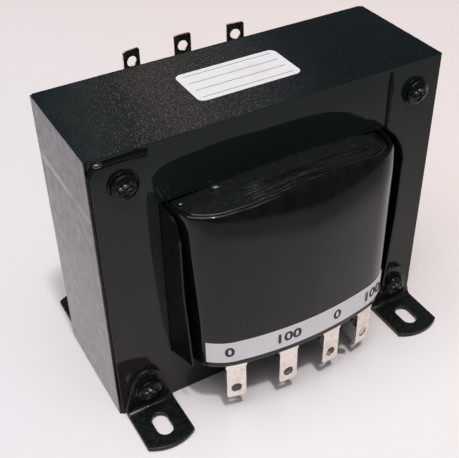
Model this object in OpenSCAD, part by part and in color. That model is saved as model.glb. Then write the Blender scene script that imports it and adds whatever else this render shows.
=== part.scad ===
// Laminated core transformer on four slotted feet.
// The coil stands upright on the centre tongue of an E and I core, and nearly fills both windows.
// Origin: centre of the core's footprint on the floor. X runs along the core, -Y is the front, Z is up.

/* [Core] */
// Width of the centre tongue
tongue_w = 38.1; // [24:0.1:60]
// Width of each outer leg
leg_w = 19.05; // [14:0.05:30]
// Width of each window
window_w = 19.05; // [15:0.05:40]
// Height of each window
window_h = 57.15; // [40:0.05:120]
// Height of the yoke that joins the E laminations below the windows
yoke_h = 19.05; // [15:0.05:30]
// Height of the I laminations across the top
bar_h = 19.05; // [14:0.05:30]
// Depth of the whole stack, front to back
stack_d = 41.1; // [24:0.1:80]
// Thickness of the outermost laminations
lamination_t = 0.64; // [0.35:0.01:1]
// How far the outermost laminations are set in from the sides of the stack
edge_set_in = 0.8; // [0:0.1:1.5]

/* [Coil] */
// Clearance between the coil and the outer legs
coil_play = 1.4; // [0.3:0.05:2]
// Clearance between the coil's lower end and the yoke
coil_foot_play = 1.175; // [0.3:0.025:6]
// Clearance between the coil's upper end and the I laminations
coil_head_play = 0.3; // [0.2:0.05:6]
// How far the wrap's upper edge spreads upwards in front of the core and behind it
wrap_rise = 1.7; // [0:0.1:3]
// Play between the tongue and the former on each side
former_gap = 0.3; // [0.1:0.05:0.6]
// Wall of the former, the tube that the coil is wound on
former_t = 1.7; // [1:0.1:2.5]
// Thickness of one wire layer of the inner winding
inner_wire_t = 1.45; // [0.8:0.05:1.6]
// Number of wire layers in the inner winding
inner_layers = 4; // [2:1:4]
// Number of wire layers in the outer winding, which fills the window's remaining width
outer_layers = 6; // [3:1:6]
// Thickness of the paper between two wire layers
paper_t = 0.25; // [0.15:0.05:0.3]
// Thickness of the insulation between the two windings
barrier_t = 1.25; // [0.8:0.05:1.5]
// Thickness of the outer wrap
wrap_t = 1.6; // [1.3:0.1:1.8]
// Height that the wire stops short of the coil's ends
wire_margin = 6; // [3:0.1:8]
// Height over which the wrap's shoulder folds in at the top
shoulder_h = 5.5; // [3:0.1:6]
// How far the shoulder folds in
shoulder_in = 2.4; // [1.7:0.1:3]
// Radius of the wrap's lower edge
hem_r = 0.8; // [0.3:0.1:1.2]
// Thickness of the liners between the coil and the outer legs
liner_t = 0.6; // [0.3:0.05:1]
// How far the liners reach past the core at the front and back
liner_reach = 10.2; // [1:0.1:12]
// Radius of the liners' top corners
liner_corner_r = 6; // [1:0.5:10]
// Swelling of the coil at the front and back, as a share of what is wound on
crown_share = 1.09; // [1.02:0.01:1.2]
// Radius of the cheeks that a crowned face ends in, as a share of what is wound on
cheek_share = 0.963; // [0.8:0.001:0.98]
// How far the centre of a cheek lies outside the tongue, as a share of what is wound on
cheek_set = 0.077; // [0.02:0.001:0.15]
// Angle that a cheek has turned to where the corner begins
cheek_turn = 45; // [30:1:60]
// Radius of the coil's four tight corners, as a share of what is wound on
corner_share = 0.11; // [0.05:0.01:0.2]

/* [Bolts] */
// Distance of each bolt from the core's outer edges
bolt_inset = 9.525; // [6.5:0.05:12]
// Diameter of the bolts
bolt_d = 4.8; // [3:0.1:6]
// Clearance round a bolt in the laminations and feet
bolt_play = 0.4; // [0.2:0.05:1]
// Diameter of the bolt heads
head_d = 9.2; // [6:0.1:11]
// Height of the bolt heads
head_h = 3.1; // [2:0.1:5]
// Diameter of the washers
washer_d = 11.4; // [8:0.1:13]
// Thickness of the washers
washer_t = 0.9; // [0.5:0.1:2]
// Width of the nuts across their flats
nut_w = 9.5; // [7:0.1:11]
// Thickness of the nuts
nut_h = 3.3; // [2:0.1:6]
// How far the bolts reach past the nuts
bolt_tail = 2.4; // [0.5:0.1:8]

/* [Feet] */
// Width of each foot
foot_w = 15.9; // [12:0.1:18]
// Thickness of the foot's sheet metal
foot_t = 1.6; // [1:0.1:2.5]
// Height of the foot's upright leg
foot_h = 20; // [16:0.5:28]
// How far each foot reaches from the face of the core
foot_reach = 19.5; // [17:0.1:30]
// Inside radius of the bend
bend_r = 1.6; // [0.5:0.1:2.5]
// Radius of the foot's curved end
foot_end_r = 14; // [9.5:0.5:40]
// Radius of the upright leg's top corners
foot_corner_r = 2; // [0.5:0.1:4]
// Width of the slot
slot_w = 5.2; // [3.5:0.1:6.5]
// Length of the slot
slot_l = 8.8; // [7:0.1:9.5]
// Distance of the slot's centre from the face of the core
slot_y = 10.6; // [9.5:0.1:11]

/* [Tags] */
// Width of the solder tags
tag_w = 6.2; // [4:0.1:7]
// Thickness of the solder tags
tag_t = 0.5; // [0.3:0.05:0.6]
// Length of tag that shows past the coil
tag_l = 14.2; // [10:0.1:16]
// Length of tag that is held in the wrap
tag_grip = 9; // [5:0.5:12]
// Diameter of the hole in each tag
tag_hole_d = 3.4; // [1.5:0.1:4]
// Distance of the hole's centre from the end of the tag
tag_hole_end = 4; // [2.5:0.1:5]
// How far a tag's stop shoulder reaches past its blade on each side
tag_stop_reach = 0.3; // [0.3:0.05:1.2]
// How far a tag's two wire wings stand back from its blade
wing_reach = 2.2; // [1:0.1:3]
// Length of a tag's wire wings
wing_l = 4.6; // [2:0.1:5]
// Places of the front tags across the coil, from its middle
front_tag_x = [-24, -6.6, 9.6, 23.8];
// Places of the rear tags across the coil, from its middle
rear_tag_x = [-18.8, 0, 18.8];

/* [Labels] */
// Width of the label on top
label_w = 33.5; // [10:0.5:60]
// Depth of the label on top
label_d = 16.8; // [6:0.1:24]
// Radius of the top label's corners
label_corner_r = 2.2; // [0.5:0.1:5]
// Distance of the top label's centre from the middle of the core
label_x = -1.4; // [-10:0.1:10]
// Thickness of both labels
label_t = 0.15; // [0.1:0.05:0.4]
// Height of the number strip round the coil
strip_h = 8; // [4:0.1:12]
// Height of the number strip's lower edge above the coil's lower end
strip_rise = 2.4; // [1.3:0.1:10]
// Angle of the cheeks that the number strip runs to
strip_turn = 44; // [20:1:60]

/* [Hidden] */
$fn = 96;

// Clearance cut round a tag in the wrap, on each face
tag_play = 0.05;
// Clearance between a bolt and its nut or washer, on the radius
thread_play = 0.05;
washer_play = 0.25;
// Height that the papers stop short of the coil's ends
paper_drop = 0.6;
// Distance from the core over which the wrap's upper edge rises
rise_run = 8;
// Length by which a cutter runs past what it cuts
past = 1;
// Steps of a turn's outline along half of a crowned face, round a cheek and round a corner
face_steps = 5;
cheek_steps = 6;
corner_steps = 3;
// Steps round the wrap's hem and round its shoulder
hem_steps = 3;
shoulder_steps = 6;
// Height of a tag's stop shoulder, and of the gap between it and the wire wings
stop_h = 1.2;
wing_gap = 0.8;
// Radius of the corners at a tag's end
tag_tip_r = 1;
// Width, length and depth of each bar of the cross recess in a bolt head
recess_w = 1.2;
recess_l = 5;
recess_h = 1.5;
// Rise of the chamfer on a nut for each unit that it runs inwards
nut_chamfer_slope = 0.6;

core_w = tongue_w + 2 * window_w + 2 * leg_w;
core_h = yoke_h + window_h + bar_h;
e_h = yoke_h + window_h;
half_stack = stack_d / 2;
bolt_x = core_w / 2 - bolt_inset;
bolt_hole_d = bolt_d + 2 * bolt_play;
low_bolt_z = bolt_inset;
high_bolt_z = core_h - bolt_inset;

// What is wound on, measured out from the side of the tongue
former_out = former_gap + former_t;
inner_out = former_out + inner_layers * inner_wire_t + (inner_layers - 1) * paper_t;
barrier_out = inner_out + barrier_t;
coil_out = window_w - coil_play;
outer_out = coil_out - wrap_t;
outer_wire_t = (outer_out - barrier_out - (outer_layers - 1) * paper_t) / outer_layers;
coil_h = window_h - coil_foot_play - coil_head_play;
coil_z = yoke_h + coil_foot_play;
coil_top = coil_z + coil_h;
// Middle of a tag's thickness, as a build of the coil
tag_out = coil_out - wrap_t / 2;

// One turn of the coil, for a build of o, is two crowned faces that end in rounder cheeks, then four
// tight corners, and sides that lean out to the windows. In the windows the sides are straight.
function side_x(o) = tongue_w / 2 + o;
function face_rise(o) = crown_share * o;
function cheek_r(o) = cheek_share * o;
function cheek_x(o) = tongue_w / 2 + cheek_set * o;
function corner_r(o) = corner_share * o;
// Radius of the crowned face that meets both cheeks smoothly
function face_r(o) = (pow(face_rise(o), 2) + pow(cheek_x(o), 2) - pow(cheek_r(o), 2))
    / (2 * (face_rise(o) - cheek_r(o)));
// Distance from the middle of the coil to the centre of that face's arc, on the far side
function face_back(o) = face_r(o) - half_stack - face_rise(o);
// Angle at which the crowned face gives way to a cheek
function face_turn(o) = atan2(cheek_x(o), face_back(o) + half_stack);
// Place of a corner's centre outside the window's mouth
function corner_at(o) = (cheek_r(o) - corner_r(o)) * [sin(cheek_turn), cos(cheek_turn)];
// Way from there to the window's mouth, where the leaning side ends
function lean_run(o) = [side_x(o) - cheek_x(o), 0] - corner_at(o);
// Angle that the leaning side faces
function side_turn(o) = atan2(lean_run(o).x, lean_run(o).y) - acos(corner_r(o) / norm(lean_run(o)));

// Front of a turn at a place x across the coil, and the way that it faces there
function face_angle(x, o) = abs(x) < face_r(o) * sin(face_turn(o))
    ? asin(x / face_r(o))
    : sign(x) * asin((abs(x) - cheek_x(o)) / cheek_r(o));
function face_y(x, o) = abs(x) < face_r(o) * sin(face_turn(o))
    ? face_r(o) * cos(face_angle(x, o)) - face_back(o)
    : half_stack + cheek_r(o) * cos(face_angle(x, o));

// ---- core ----

// Outline of an E lamination, standing on its yoke
module e_outline(set_in) {
    difference() {
        translate([-core_w / 2 + set_in, 0])
            square([core_w - 2 * set_in, e_h]);
        for (side = [-1, 1])
            translate([side * (tongue_w + window_w) / 2 - window_w / 2, yoke_h])
                square([window_w, window_h + past]);
        for (side = [-1, 1])
            translate([side * bolt_x, low_bolt_z])
                circle(d = bolt_hole_d);
    }
}

// Outline of an I lamination, lying on the ends of the E
module i_outline(set_in) {
    difference() {
        translate([-core_w / 2 + set_in, e_h])
            square([core_w - 2 * set_in, bar_h]);
        for (side = [-1, 1])
            translate([side * bolt_x, high_bolt_z])
                circle(d = bolt_hole_d);
    }
}

// Stands an outline upright as sheet that fills the stack from one depth to another
module sheet(from_y, to_y) {
    translate([0, to_y, 0])
        rotate([90, 0, 0])
            linear_extrude(to_y - from_y)
                children();
}

module e_laminations() {
    color("#2b2a28")
        sheet(-half_stack + lamination_t, half_stack - lamination_t)
            e_outline(0);
}

module i_laminations() {
    color("#2f2d29")
        sheet(-half_stack + lamination_t, half_stack - lamination_t)
            i_outline(0);
}

module outer_e_lamination(back) {
    color("#34353a")
        sheet(back ? half_stack - lamination_t : -half_stack, back ? half_stack : lamination_t - half_stack)
            e_outline(edge_set_in);
}

module outer_i_lamination(back) {
    color("#34353a")
        sheet(back ? half_stack - lamination_t : -half_stack, back ? half_stack : lamination_t - half_stack)
            i_outline(edge_set_in);
}

// ---- coil ----

// A quarter of a turn, from the middle of its crowned face to the window's mouth
function quarter_points(o) = concat(
    [for (i = [1 : face_steps])
        let (a = face_turn(o) * (2 * i - 1) / (2 * face_steps - 1))
            [face_r(o) * sin(a), face_r(o) * cos(a) - face_back(o)]],
    [for (i = [1 : cheek_steps])
        let (a = face_turn(o) + (cheek_turn - face_turn(o)) * i / cheek_steps)
            [cheek_x(o) + cheek_r(o) * sin(a), half_stack + cheek_r(o) * cos(a)]],
    [for (i = [1 : corner_steps])
        let (a = cheek_turn + (side_turn(o) - cheek_turn) * i / corner_steps)
            [cheek_x(o), half_stack] + corner_at(o) + corner_r(o) * [sin(a), cos(a)]],
    [[side_x(o), half_stack]]
);
function flipped(points, x, y) = [for (p = points) [x * p.x, y * p.y]];
function backward(points) = [for (i = [len(points) - 1 : -1 : 0]) points[i]];

// The whole turn, seen from above: rear right, front right, front left and rear left
function turn_points(o) = concat(
    quarter_points(o),
    backward(flipped(quarter_points(o), 1, -1)),
    flipped(quarter_points(o), -1, -1),
    backward(flipped(quarter_points(o), -1, 1))
);

// Tube wound from build o_in to build o_out
module wound_tube(o_in, o_out, from_z, to_z) {
    translate([0, 0, from_z])
        linear_extrude(to_z - from_z)
            difference() {
                polygon(turn_points(o_out));
                polygon(turn_points(o_in));
            }
}

// Rise of the wrap's upper edge at a point of a turn
function rise_at(p) = wrap_rise * min(1, (abs(p.y) - half_stack) / rise_run);

// Closed shell swept round the coil by a section, a loop of [build, height] points. Its upper half rises.
module swept_turn(section) {
    around = len(turn_points(coil_out));
    rows = len(section);
    polyhedron(
        points = [for (s = section, p = turn_points(s.x))
            [p.x, p.y, s.y + (s.y > coil_z + coil_h / 2 ? rise_at(p) : 0)]],
        faces = [for (j = [0 : rows - 1], i = [0 : around - 1], half = [0, 1])
            let (
                next_i = (i + 1) % around,
                next_j = (j + 1) % rows,
                low = j * around,
                high = next_j * around
            )
            half == 0 ? [low + i, low + next_i, high + i] : [low + next_i, high + next_i, high + i]]
    );
}

module coil_former() {
    color("#5a4a32")
        translate([0, 0, coil_z])
            linear_extrude(coil_h)
                difference() {
                    polygon(turn_points(former_out));
                    square([tongue_w + 2 * former_gap, stack_d], center = true);
                }
}

// Wire layers, one tube each, wound out from a first build
module wire_layers(first, count, wire_t) {
    for (i = [0 : count - 1]) {
        o = first + i * (wire_t + paper_t);
        wound_tube(o, o + wire_t, coil_z + wire_margin, coil_top - wire_margin);
    }
}

// Papers between the wire layers. They end lower where the wrap's shoulder folds over them.
module layer_papers(first, count, wire_t) {
    for (i = [1 : count - 1]) {
        o = first + i * (wire_t + paper_t) - paper_t;
        under_fold = o + paper_t > coil_out - shoulder_in;
        top = under_fold ? coil_top - shoulder_h : coil_top - paper_drop;
        wound_tube(o, o + paper_t, coil_z + paper_drop, top);
    }
}

module inner_winding() {
    color("#8a4f2a")
        wire_layers(former_out, inner_layers, inner_wire_t);
}

module inner_layer_papers() {
    color("#6e5b3c")
        layer_papers(former_out, inner_layers, inner_wire_t);
}

module winding_barrier() {
    color("#5a4a32")
        wound_tube(inner_out, barrier_out, coil_z, coil_top);
}

module outer_winding() {
    color("#8a4f2a")
        wire_layers(barrier_out, outer_layers, outer_wire_t);
}

module outer_layer_papers() {
    color("#6e5b3c")
        layer_papers(barrier_out, outer_layers, outer_wire_t);
}

// Section of the wrap: a wall with a small hem below and a folded shoulder above
function wrap_section() = concat(
    [[outer_out, coil_z]],
    [for (i = [0 : hem_steps])
        let (a = 90 * i / hem_steps)
            [coil_out - hem_r + hem_r * sin(a), coil_z + hem_r - hem_r * cos(a)]],
    [for (i = [0 : shoulder_steps])
        let (a = 90 * i / shoulder_steps)
            [coil_out - shoulder_in + shoulder_in * cos(a), coil_top - shoulder_h + shoulder_h * sin(a)]],
    [[coil_out - shoulder_in, coil_top - shoulder_h], [outer_out, coil_top - shoulder_h]]
);

// Puts a tag where it leaves the coil. Front tags hang down, rear tags stand up.
module at_tag(x, back) {
    mirror([0, back ? 1 : 0, 0])
        translate([x, -face_y(x, tag_out), back ? coil_top + wrap_rise : coil_z])
            mirror([0, 0, back ? 1 : 0])
                rotate([0, 0, face_angle(x, tag_out)])
                    children();
}

module coil_wrap() {
    color("#26282a")
        difference() {
            swept_turn(wrap_section());
            for (x = front_tag_x)
                at_tag(x, false)
                    tag_pocket();
            for (x = rear_tag_x)
                at_tag(x, true)
                    tag_pocket();
        }
}

// Side view of a liner, with its two top corners rounded
module liner_outline() {
    half_d = stack_d / 2 + liner_reach;
    translate([-half_d, 0])
        square([2 * half_d, coil_h - liner_corner_r]);
    translate([liner_corner_r - half_d, 0])
        square([2 * (half_d - liner_corner_r), coil_h]);
    for (end = [-1, 1])
        translate([end * (half_d - liner_corner_r), coil_h - liner_corner_r])
            circle(r = liner_corner_r);
}

// Thin board that lines a window between the coil and the outer leg
module window_liner(side) {
    color("#2c2a27")
        translate([side * (tongue_w / 2 + window_w - liner_t / 2) - liner_t / 2, 0, coil_z])
            rotate([90, 0, 90])
                linear_extrude(liner_t)
                    liner_outline();
}

// ---- solder tags ----

module tag_pocket() {
    w = tag_w + 2 * tag_play;
    t = tag_t + 2 * tag_play;
    translate([-w / 2, -t / 2, -past])
        cube([w, t, tag_grip + past]);
}

// One solder tag: the blade reaches past the coil's end, with a stop, two wire wings and a hole
module solder_tag() {
    stop_w = tag_w + 2 * tag_stop_reach;
    rotate([90, 0, 0])
        translate([0, 0, -tag_t / 2])
            linear_extrude(tag_t)
                difference() {
                    union() {
                        translate([-tag_w / 2, tag_tip_r - tag_l])
                            square([tag_w, tag_grip + tag_l - tag_tip_r]);
                        translate([tag_tip_r - tag_w / 2, -tag_l])
                            square([tag_w - 2 * tag_tip_r, tag_tip_r]);
                        for (side = [-1, 1])
                            translate([side * (tag_w / 2 - tag_tip_r), tag_tip_r - tag_l])
                                circle(r = tag_tip_r);
                        translate([-stop_w / 2, -stop_h])
                            square([stop_w, stop_h]);
                    }
                    translate([0, tag_hole_end - tag_l])
                        circle(d = tag_hole_d);
                }
    for (side = [-1, 1])
        translate([side * (tag_w - tag_t) / 2 - tag_t / 2, -tag_t / 2, -stop_h - wing_gap - wing_l])
            cube([tag_t, wing_reach, wing_l]);
}

module front_tag(i) {
    color("#e8e2d2")
        at_tag(front_tag_x[i - 1], false)
            solder_tag();
}

module rear_tag(i) {
    color("#e8e2d2")
        at_tag(rear_tag_x[i - 1], true)
            solder_tag();
}

// ---- bolts ----

// Thickness clamped under a bolt head or nut, besides the stack and washer
function foot_under(low) = low ? foot_t : 0;

// Puts a fastener on a bolt's axis, against the front or back face of the core
module at_bolt(side, low, back = false) {
    translate([side * bolt_x, 0, low ? low_bolt_z : high_bolt_z])
        rotate([back ? -90 : 90, 0, 0])
            translate([0, 0, half_stack + foot_under(low)])
                children();
}

module through_bolt(side, low) {
    dome_r = (pow(head_d / 2, 2) + pow(head_h / 2, 2)) / head_h;
    reach = washer_t + nut_h + bolt_tail;
    through = 2 * (half_stack + foot_under(low));
    color("#3a3a3a")
        at_bolt(side, low)
            difference() {
                union() {
                    translate([0, 0, -through - reach])
                        cylinder(d = bolt_d, h = through + reach + washer_t);
                    translate([0, 0, washer_t])
                        cylinder(d = head_d, h = head_h / 2);
                    translate([0, 0, washer_t + head_h / 2])
                        intersection() {
                            translate([0, 0, head_h / 2 - dome_r])
                                sphere(r = dome_r);
                            cylinder(d = head_d, h = head_h);
                        }
                }
                for (a = [0, 90])
                    rotate([0, 0, a])
                        translate([-recess_l / 2, -recess_w / 2, washer_t + head_h - recess_h])
                            cube([recess_l, recess_w, recess_h + past]);
            }
}

module hex_nut(side, low) {
    corner = nut_w / cos(30);
    color("#3f3f3d")
        at_bolt(side, low, true)
            translate([0, 0, washer_t])
                difference() {
                    intersection() {
                        cylinder(d = corner, h = nut_h, $fn = 6);
                        cylinder(r1 = nut_w / 2 + nut_h / nut_chamfer_slope, r2 = nut_w / 2, h = nut_h);
                    }
                    translate([0, 0, -past])
                        cylinder(r = bolt_d / 2 + thread_play, h = nut_h + 2 * past);
                }
}

module washers(back) {
    color("#34342f")
        for (side = [-1, 1], low = [true, false])
            at_bolt(side, low, back)
                difference() {
                    cylinder(d = washer_d, h = washer_t);
                    translate([0, 0, -past])
                        cylinder(r = bolt_d / 2 + washer_play, h = washer_t + 2 * past);
                }
}

// ---- feet ----

// Side view of a foot, with the core's face on the vertical axis
module foot_section() {
    bend = bend_r + foot_t;
    translate([0, bend])
        square([foot_t, foot_h - bend]);
    translate([bend, 0])
        square([foot_reach - bend, foot_t]);
    intersection() {
        translate([bend, bend])
            difference() {
                circle(r = bend);
                circle(r = bend_r);
            }
        square([bend, bend]);
    }
}

// Front view of a foot, with its two top corners rounded
module foot_front() {
    inner_w = foot_w - 2 * foot_corner_r;
    translate([-foot_w / 2, 0])
        square([foot_w, foot_h - foot_corner_r]);
    translate([-inner_w / 2, 0])
        square([inner_w, foot_h]);
    for (side = [-1, 1])
        translate([side * inner_w / 2, foot_h - foot_corner_r])
            circle(r = foot_corner_r);
}

// Plan of a foot, with its curved end
module foot_plan() {
    intersection() {
        translate([-foot_w / 2, -foot_reach])
            square([foot_w, foot_reach]);
        union() {
            translate([0, foot_end_r - foot_reach])
                circle(r = foot_end_r);
            translate([-foot_w / 2, foot_end_r - foot_reach])
                square([foot_w, foot_reach]);
        }
    }
}

module foot(side, back) {
    color("#2c2d2b")
        mirror([0, back ? 1 : 0, 0])
            translate([side * bolt_x, -half_stack, 0])
                difference() {
                    intersection() {
                        translate([-foot_w / 2, 0, 0])
                            rotate([90, 0, 90])
                                linear_extrude(foot_w)
                                    mirror([1, 0])
                                        foot_section();
                        rotate([90, 0, 0])
                            linear_extrude(foot_reach)
                                foot_front();
                        linear_extrude(foot_h)
                            foot_plan();
                    }
                    translate([0, past, low_bolt_z])
                        rotate([90, 0, 0])
                            cylinder(d = bolt_hole_d, h = foot_t + 2 * past);
                    translate([0, -slot_y, -past])
                        linear_extrude(foot_t + 2 * past)
                            slot_outline();
                }
}

module slot_outline() {
    straight = slot_l - slot_w;
    translate([-slot_w / 2, -straight / 2])
        square([slot_w, straight]);
    for (end = [-1, 1])
        translate([0, end * straight / 2])
            circle(d = slot_w);
}

// ---- labels ----

// Number strip stuck round the front of the coil, ending part way round its cheeks
module number_strip() {
    centre_x = cheek_x(coil_out);
    reach = cheek_r(coil_out) + past;
    end_x = centre_x + reach * sin(strip_turn);
    end_y = -half_stack - reach * cos(strip_turn);
    front_y = -half_stack - face_rise(coil_out) - past;
    color("#efeeee")
        translate([0, 0, coil_z + strip_rise])
            linear_extrude(strip_h)
                intersection() {
                    difference() {
                        polygon(turn_points(coil_out + label_t));
                        polygon(turn_points(coil_out));
                    }
                    polygon([
                        [-centre_x, -half_stack], [-end_x, end_y], [-end_x, front_y],
                        [end_x, front_y], [end_x, end_y], [centre_x, -half_stack]
                    ]);
                }
}

module top_label() {
    inner_w = label_w - 2 * label_corner_r;
    inner_d = label_d - 2 * label_corner_r;
    color("#f2efe9")
        translate([label_x, 0, core_h])
            linear_extrude(label_t) {
                square([label_w, inner_d], center = true);
                square([inner_w, label_d], center = true);
                for (x = [-1, 1], y = [-1, 1])
                    translate([x * inner_w / 2, y * inner_d / 2])
                        circle(r = label_corner_r);
            }
}

// ---- nodes ----

e_laminations();
i_laminations();
outer_e_lamination(false);  // front_e_lamination
outer_i_lamination(false);  // front_i_lamination
outer_e_lamination(true);  // rear_e_lamination
outer_i_lamination(true);  // rear_i_lamination
coil_former();
inner_winding();
inner_layer_papers();
winding_barrier();
outer_winding();
outer_layer_papers();
coil_wrap();
window_liner(-1);  // window_liner_left
window_liner(1);  // window_liner_right
front_tag(1);  // front_tag_1
front_tag(2);  // front_tag_2
front_tag(3);  // front_tag_3
front_tag(4);  // front_tag_4
rear_tag(1);  // rear_tag_1
rear_tag(2);  // rear_tag_2
rear_tag(3);  // rear_tag_3
through_bolt(-1, true);  // bolt_low_left
through_bolt(1, true);  // bolt_low_right
through_bolt(-1, false);  // bolt_high_left
through_bolt(1, false);  // bolt_high_right
hex_nut(-1, true);  // nut_low_left
hex_nut(1, true);  // nut_low_right
hex_nut(-1, false);  // nut_high_left
hex_nut(1, false);  // nut_high_right
washers(false);  // front_washers
washers(true);  // rear_washers
foot(-1, false);  // foot_front_left
foot(1, false);  // foot_front_right
foot(-1, true);  // foot_rear_left
foot(1, true);  // foot_rear_right
number_strip();
top_label();
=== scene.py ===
"""Visual model of a laminated core transformer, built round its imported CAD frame.

The core is a stack of thin E and I laminations, dipped in black varnish. A layer-wound coil stands on
its centre tongue, with solder tags at the front and rear. Four bent feet hang on the lower bolts.
Lengths here are in millimetres unless a name ends in _m; meshes are made in metres.
"""

import logging
import math
import random
from dataclasses import dataclass
from enum import Enum
from typing import Callable, Iterable, Optional, Sequence

import bmesh
import bpy
from mathutils import Matrix, Vector, noise


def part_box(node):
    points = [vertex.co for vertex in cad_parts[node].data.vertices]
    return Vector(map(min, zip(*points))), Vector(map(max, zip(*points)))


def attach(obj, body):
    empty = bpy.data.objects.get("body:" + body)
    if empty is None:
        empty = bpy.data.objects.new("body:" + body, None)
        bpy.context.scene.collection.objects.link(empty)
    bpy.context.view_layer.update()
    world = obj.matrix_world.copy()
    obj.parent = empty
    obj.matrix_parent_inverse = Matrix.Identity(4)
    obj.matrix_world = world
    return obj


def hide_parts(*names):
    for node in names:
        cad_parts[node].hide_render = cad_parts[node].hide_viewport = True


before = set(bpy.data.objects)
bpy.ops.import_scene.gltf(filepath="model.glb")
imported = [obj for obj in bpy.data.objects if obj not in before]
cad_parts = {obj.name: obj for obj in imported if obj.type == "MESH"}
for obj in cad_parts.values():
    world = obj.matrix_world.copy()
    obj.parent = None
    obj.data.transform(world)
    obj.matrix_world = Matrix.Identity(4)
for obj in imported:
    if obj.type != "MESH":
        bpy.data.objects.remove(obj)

LOG = logging.getLogger("transformer")
MM = 0.001
BODY = "root"
TAU = 2 * math.pi

WELD_M = 1e-6  # Vertices of a shape that are nearer than this are one.

Colour = tuple[float, float, float]
Point = tuple[float, float, float]
Pair = tuple[float, float]
Mesh = bmesh.types.BMesh
Socket = bpy.types.NodeSocket


# ---------------------------------------------------------------- node materials


def set_range(node: bpy.types.Node, read: Pair, give: Pair) -> None:
    """Sets the ranges of a Map Range node.

    Args:
        node: The node.
        read: Start and end of the range that it reads.
        give: What it gives at the start and at the end.
    """
    for name, number in zip(("From Min", "From Max", "To Min", "To Max"), (*read, *give)):
        node.inputs[name].default_value = number


class Graph:
    """A node material under construction, with short calls for the nodes that the finishes share.

    Attributes:
        usual: The range that most of a noise's values lie in.
    """

    usual: Pair = (0.3, 0.7)

    def __init__(self, name: str) -> None:
        """Makes an empty material with a Principled surface.

        Args:
            name: The material's name.
        """
        self.material = bpy.data.materials.new(name)
        self.material.use_nodes = True
        self.tree = self.material.node_tree
        self.tree.nodes.clear()
        output = self.tree.nodes.new("ShaderNodeOutputMaterial")
        self.surface = self.tree.nodes.new("ShaderNodeBsdfPrincipled")
        self.tree.links.new(self.surface.outputs["BSDF"], output.inputs["Surface"])
        self.place = self.tree.nodes.new("ShaderNodeTexCoord").outputs["Object"]

    def link(self, source: Socket, target: Socket) -> None:
        """Joins one socket to another."""
        self.tree.links.new(source, target)

    def node(self, kind: str, **settings: object) -> bpy.types.Node:
        """Adds a node and sets its properties.

        Args:
            kind: The node's type name, without its ShaderNode prefix.
            **settings: Properties of the node.

        Returns:
            The new node.
        """
        made = self.tree.nodes.new("ShaderNode" + kind)
        for key, value in settings.items():
            setattr(made, key, value)
        return made

    def stretched(self, scale: Point) -> Socket:
        """Object coordinates stretched along each axis.

        Args:
            scale: The factor on each axis.

        Returns:
            The mapped vector.
        """
        mapping = self.node("Mapping")
        mapping.inputs["Scale"].default_value = scale
        self.link(self.place, mapping.inputs["Vector"])
        return mapping.outputs["Vector"]

    def noise(
        self, per_mm: float, detail: float = 3.0, rough: float = 0.55, vector: Optional[Socket] = None
    ) -> Socket:
        """Fractal noise.

        Args:
            per_mm: Noise cells in each millimetre.
            detail: Octaves of the noise.
            rough: Share that each octave keeps.
            vector: Coordinates to read, or None for object coordinates.

        Returns:
            The noise value, about 0 to 1.
        """
        made = self.node("TexNoise")
        made.inputs["Scale"].default_value = per_mm / MM
        made.inputs["Detail"].default_value = detail
        made.inputs["Roughness"].default_value = rough
        self.link(vector or self.place, made.inputs["Vector"])
        return made.outputs["Fac"]

    def cells(self, per_mm: float) -> Socket:
        """Distance to the nearest of many scattered points.

        Args:
            per_mm: Points along each millimetre.

        Returns:
            The distance, 0 at a point.
        """
        made = self.node("TexVoronoi")
        made.inputs["Scale"].default_value = per_mm / MM
        self.link(self.place, made.inputs["Vector"])
        return made.outputs["Distance"]

    def along(self, axis: str) -> Socket:
        """One object coordinate, in metres.

        Args:
            axis: X, Y or Z.

        Returns:
            The coordinate.
        """
        made = self.node("SeparateXYZ")
        self.link(self.place, made.inputs["Vector"])
        return made.outputs[axis]

    def remap(self, value: Socket, low: float, high: float, give: Pair = (0.0, 1.0)) -> Socket:
        """Maps a range of values to another with an even start and stop, held at its ends.

        Args:
            value: The value to map.
            low: Start of the range that is read.
            high: End of the range that is read.
            give: Results at the start and at the end.

        Returns:
            The mapped value.
        """
        made = self.node("MapRange", interpolation_type="SMOOTHSTEP")
        set_range(made, (low, high), give)
        self.link(value, made.inputs["Value"])
        return made.outputs["Result"]

    def band(self, value: Socket, middle: float, half: float) -> Socket:
        """A soft band: 1 where a value is at its middle, and 0 from half a width away."""
        rise = self.remap(value, middle - half, middle)
        return self.times(rise, self.remap(value, middle, middle + half, (1.0, 0.0)))

    def stops(self, value: Socket, half: float, tones: Sequence[tuple[float, Colour]]) -> Socket:
        """Colours set out along a value.

        Args:
            value: The value, in metres.
            half: Half of its range, in millimetres.
            tones: Places in millimetres, each with its colour.

        Returns:
            The colour.
        """
        share = self.node("MapRange", interpolation_type="LINEAR")
        set_range(share, (-half * MM, half * MM), (0.0, 1.0))
        self.link(value, share.inputs["Value"])
        made = self.node("ValToRGB")
        made.color_ramp.interpolation = "B_SPLINE"
        ramp = made.color_ramp.elements
        while len(ramp) < len(tones):
            ramp.new(0.5)
        for stop, (place, tone) in zip(ramp, tones):
            stop.position = (place + half) / (2 * half)
            stop.color = (*tone, 1)
        self.link(share.outputs["Result"], made.inputs["Fac"])
        return made.outputs["Color"]

    def sum(self, first: Socket, second: Socket, share: float) -> Socket:
        """Adds a share of one value to another.

        Args:
            first: The value that counts fully.
            second: The value that is scaled.
            share: The factor on the second value.

        Returns:
            The sum.
        """
        made = self.node("Math", operation="MULTIPLY_ADD")
        made.inputs[1].default_value = share
        self.link(second, made.inputs[0])
        self.link(first, made.inputs[2])
        return made.outputs[0]

    def times(self, first: Socket, second: Socket) -> Socket:
        """The product of two values.

        Args:
            first: A value.
            second: A value.

        Returns:
            Their product.
        """
        made = self.node("Math", operation="MULTIPLY")
        self.link(first, made.inputs[0])
        self.link(second, made.inputs[1])
        return made.outputs[0]

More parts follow.
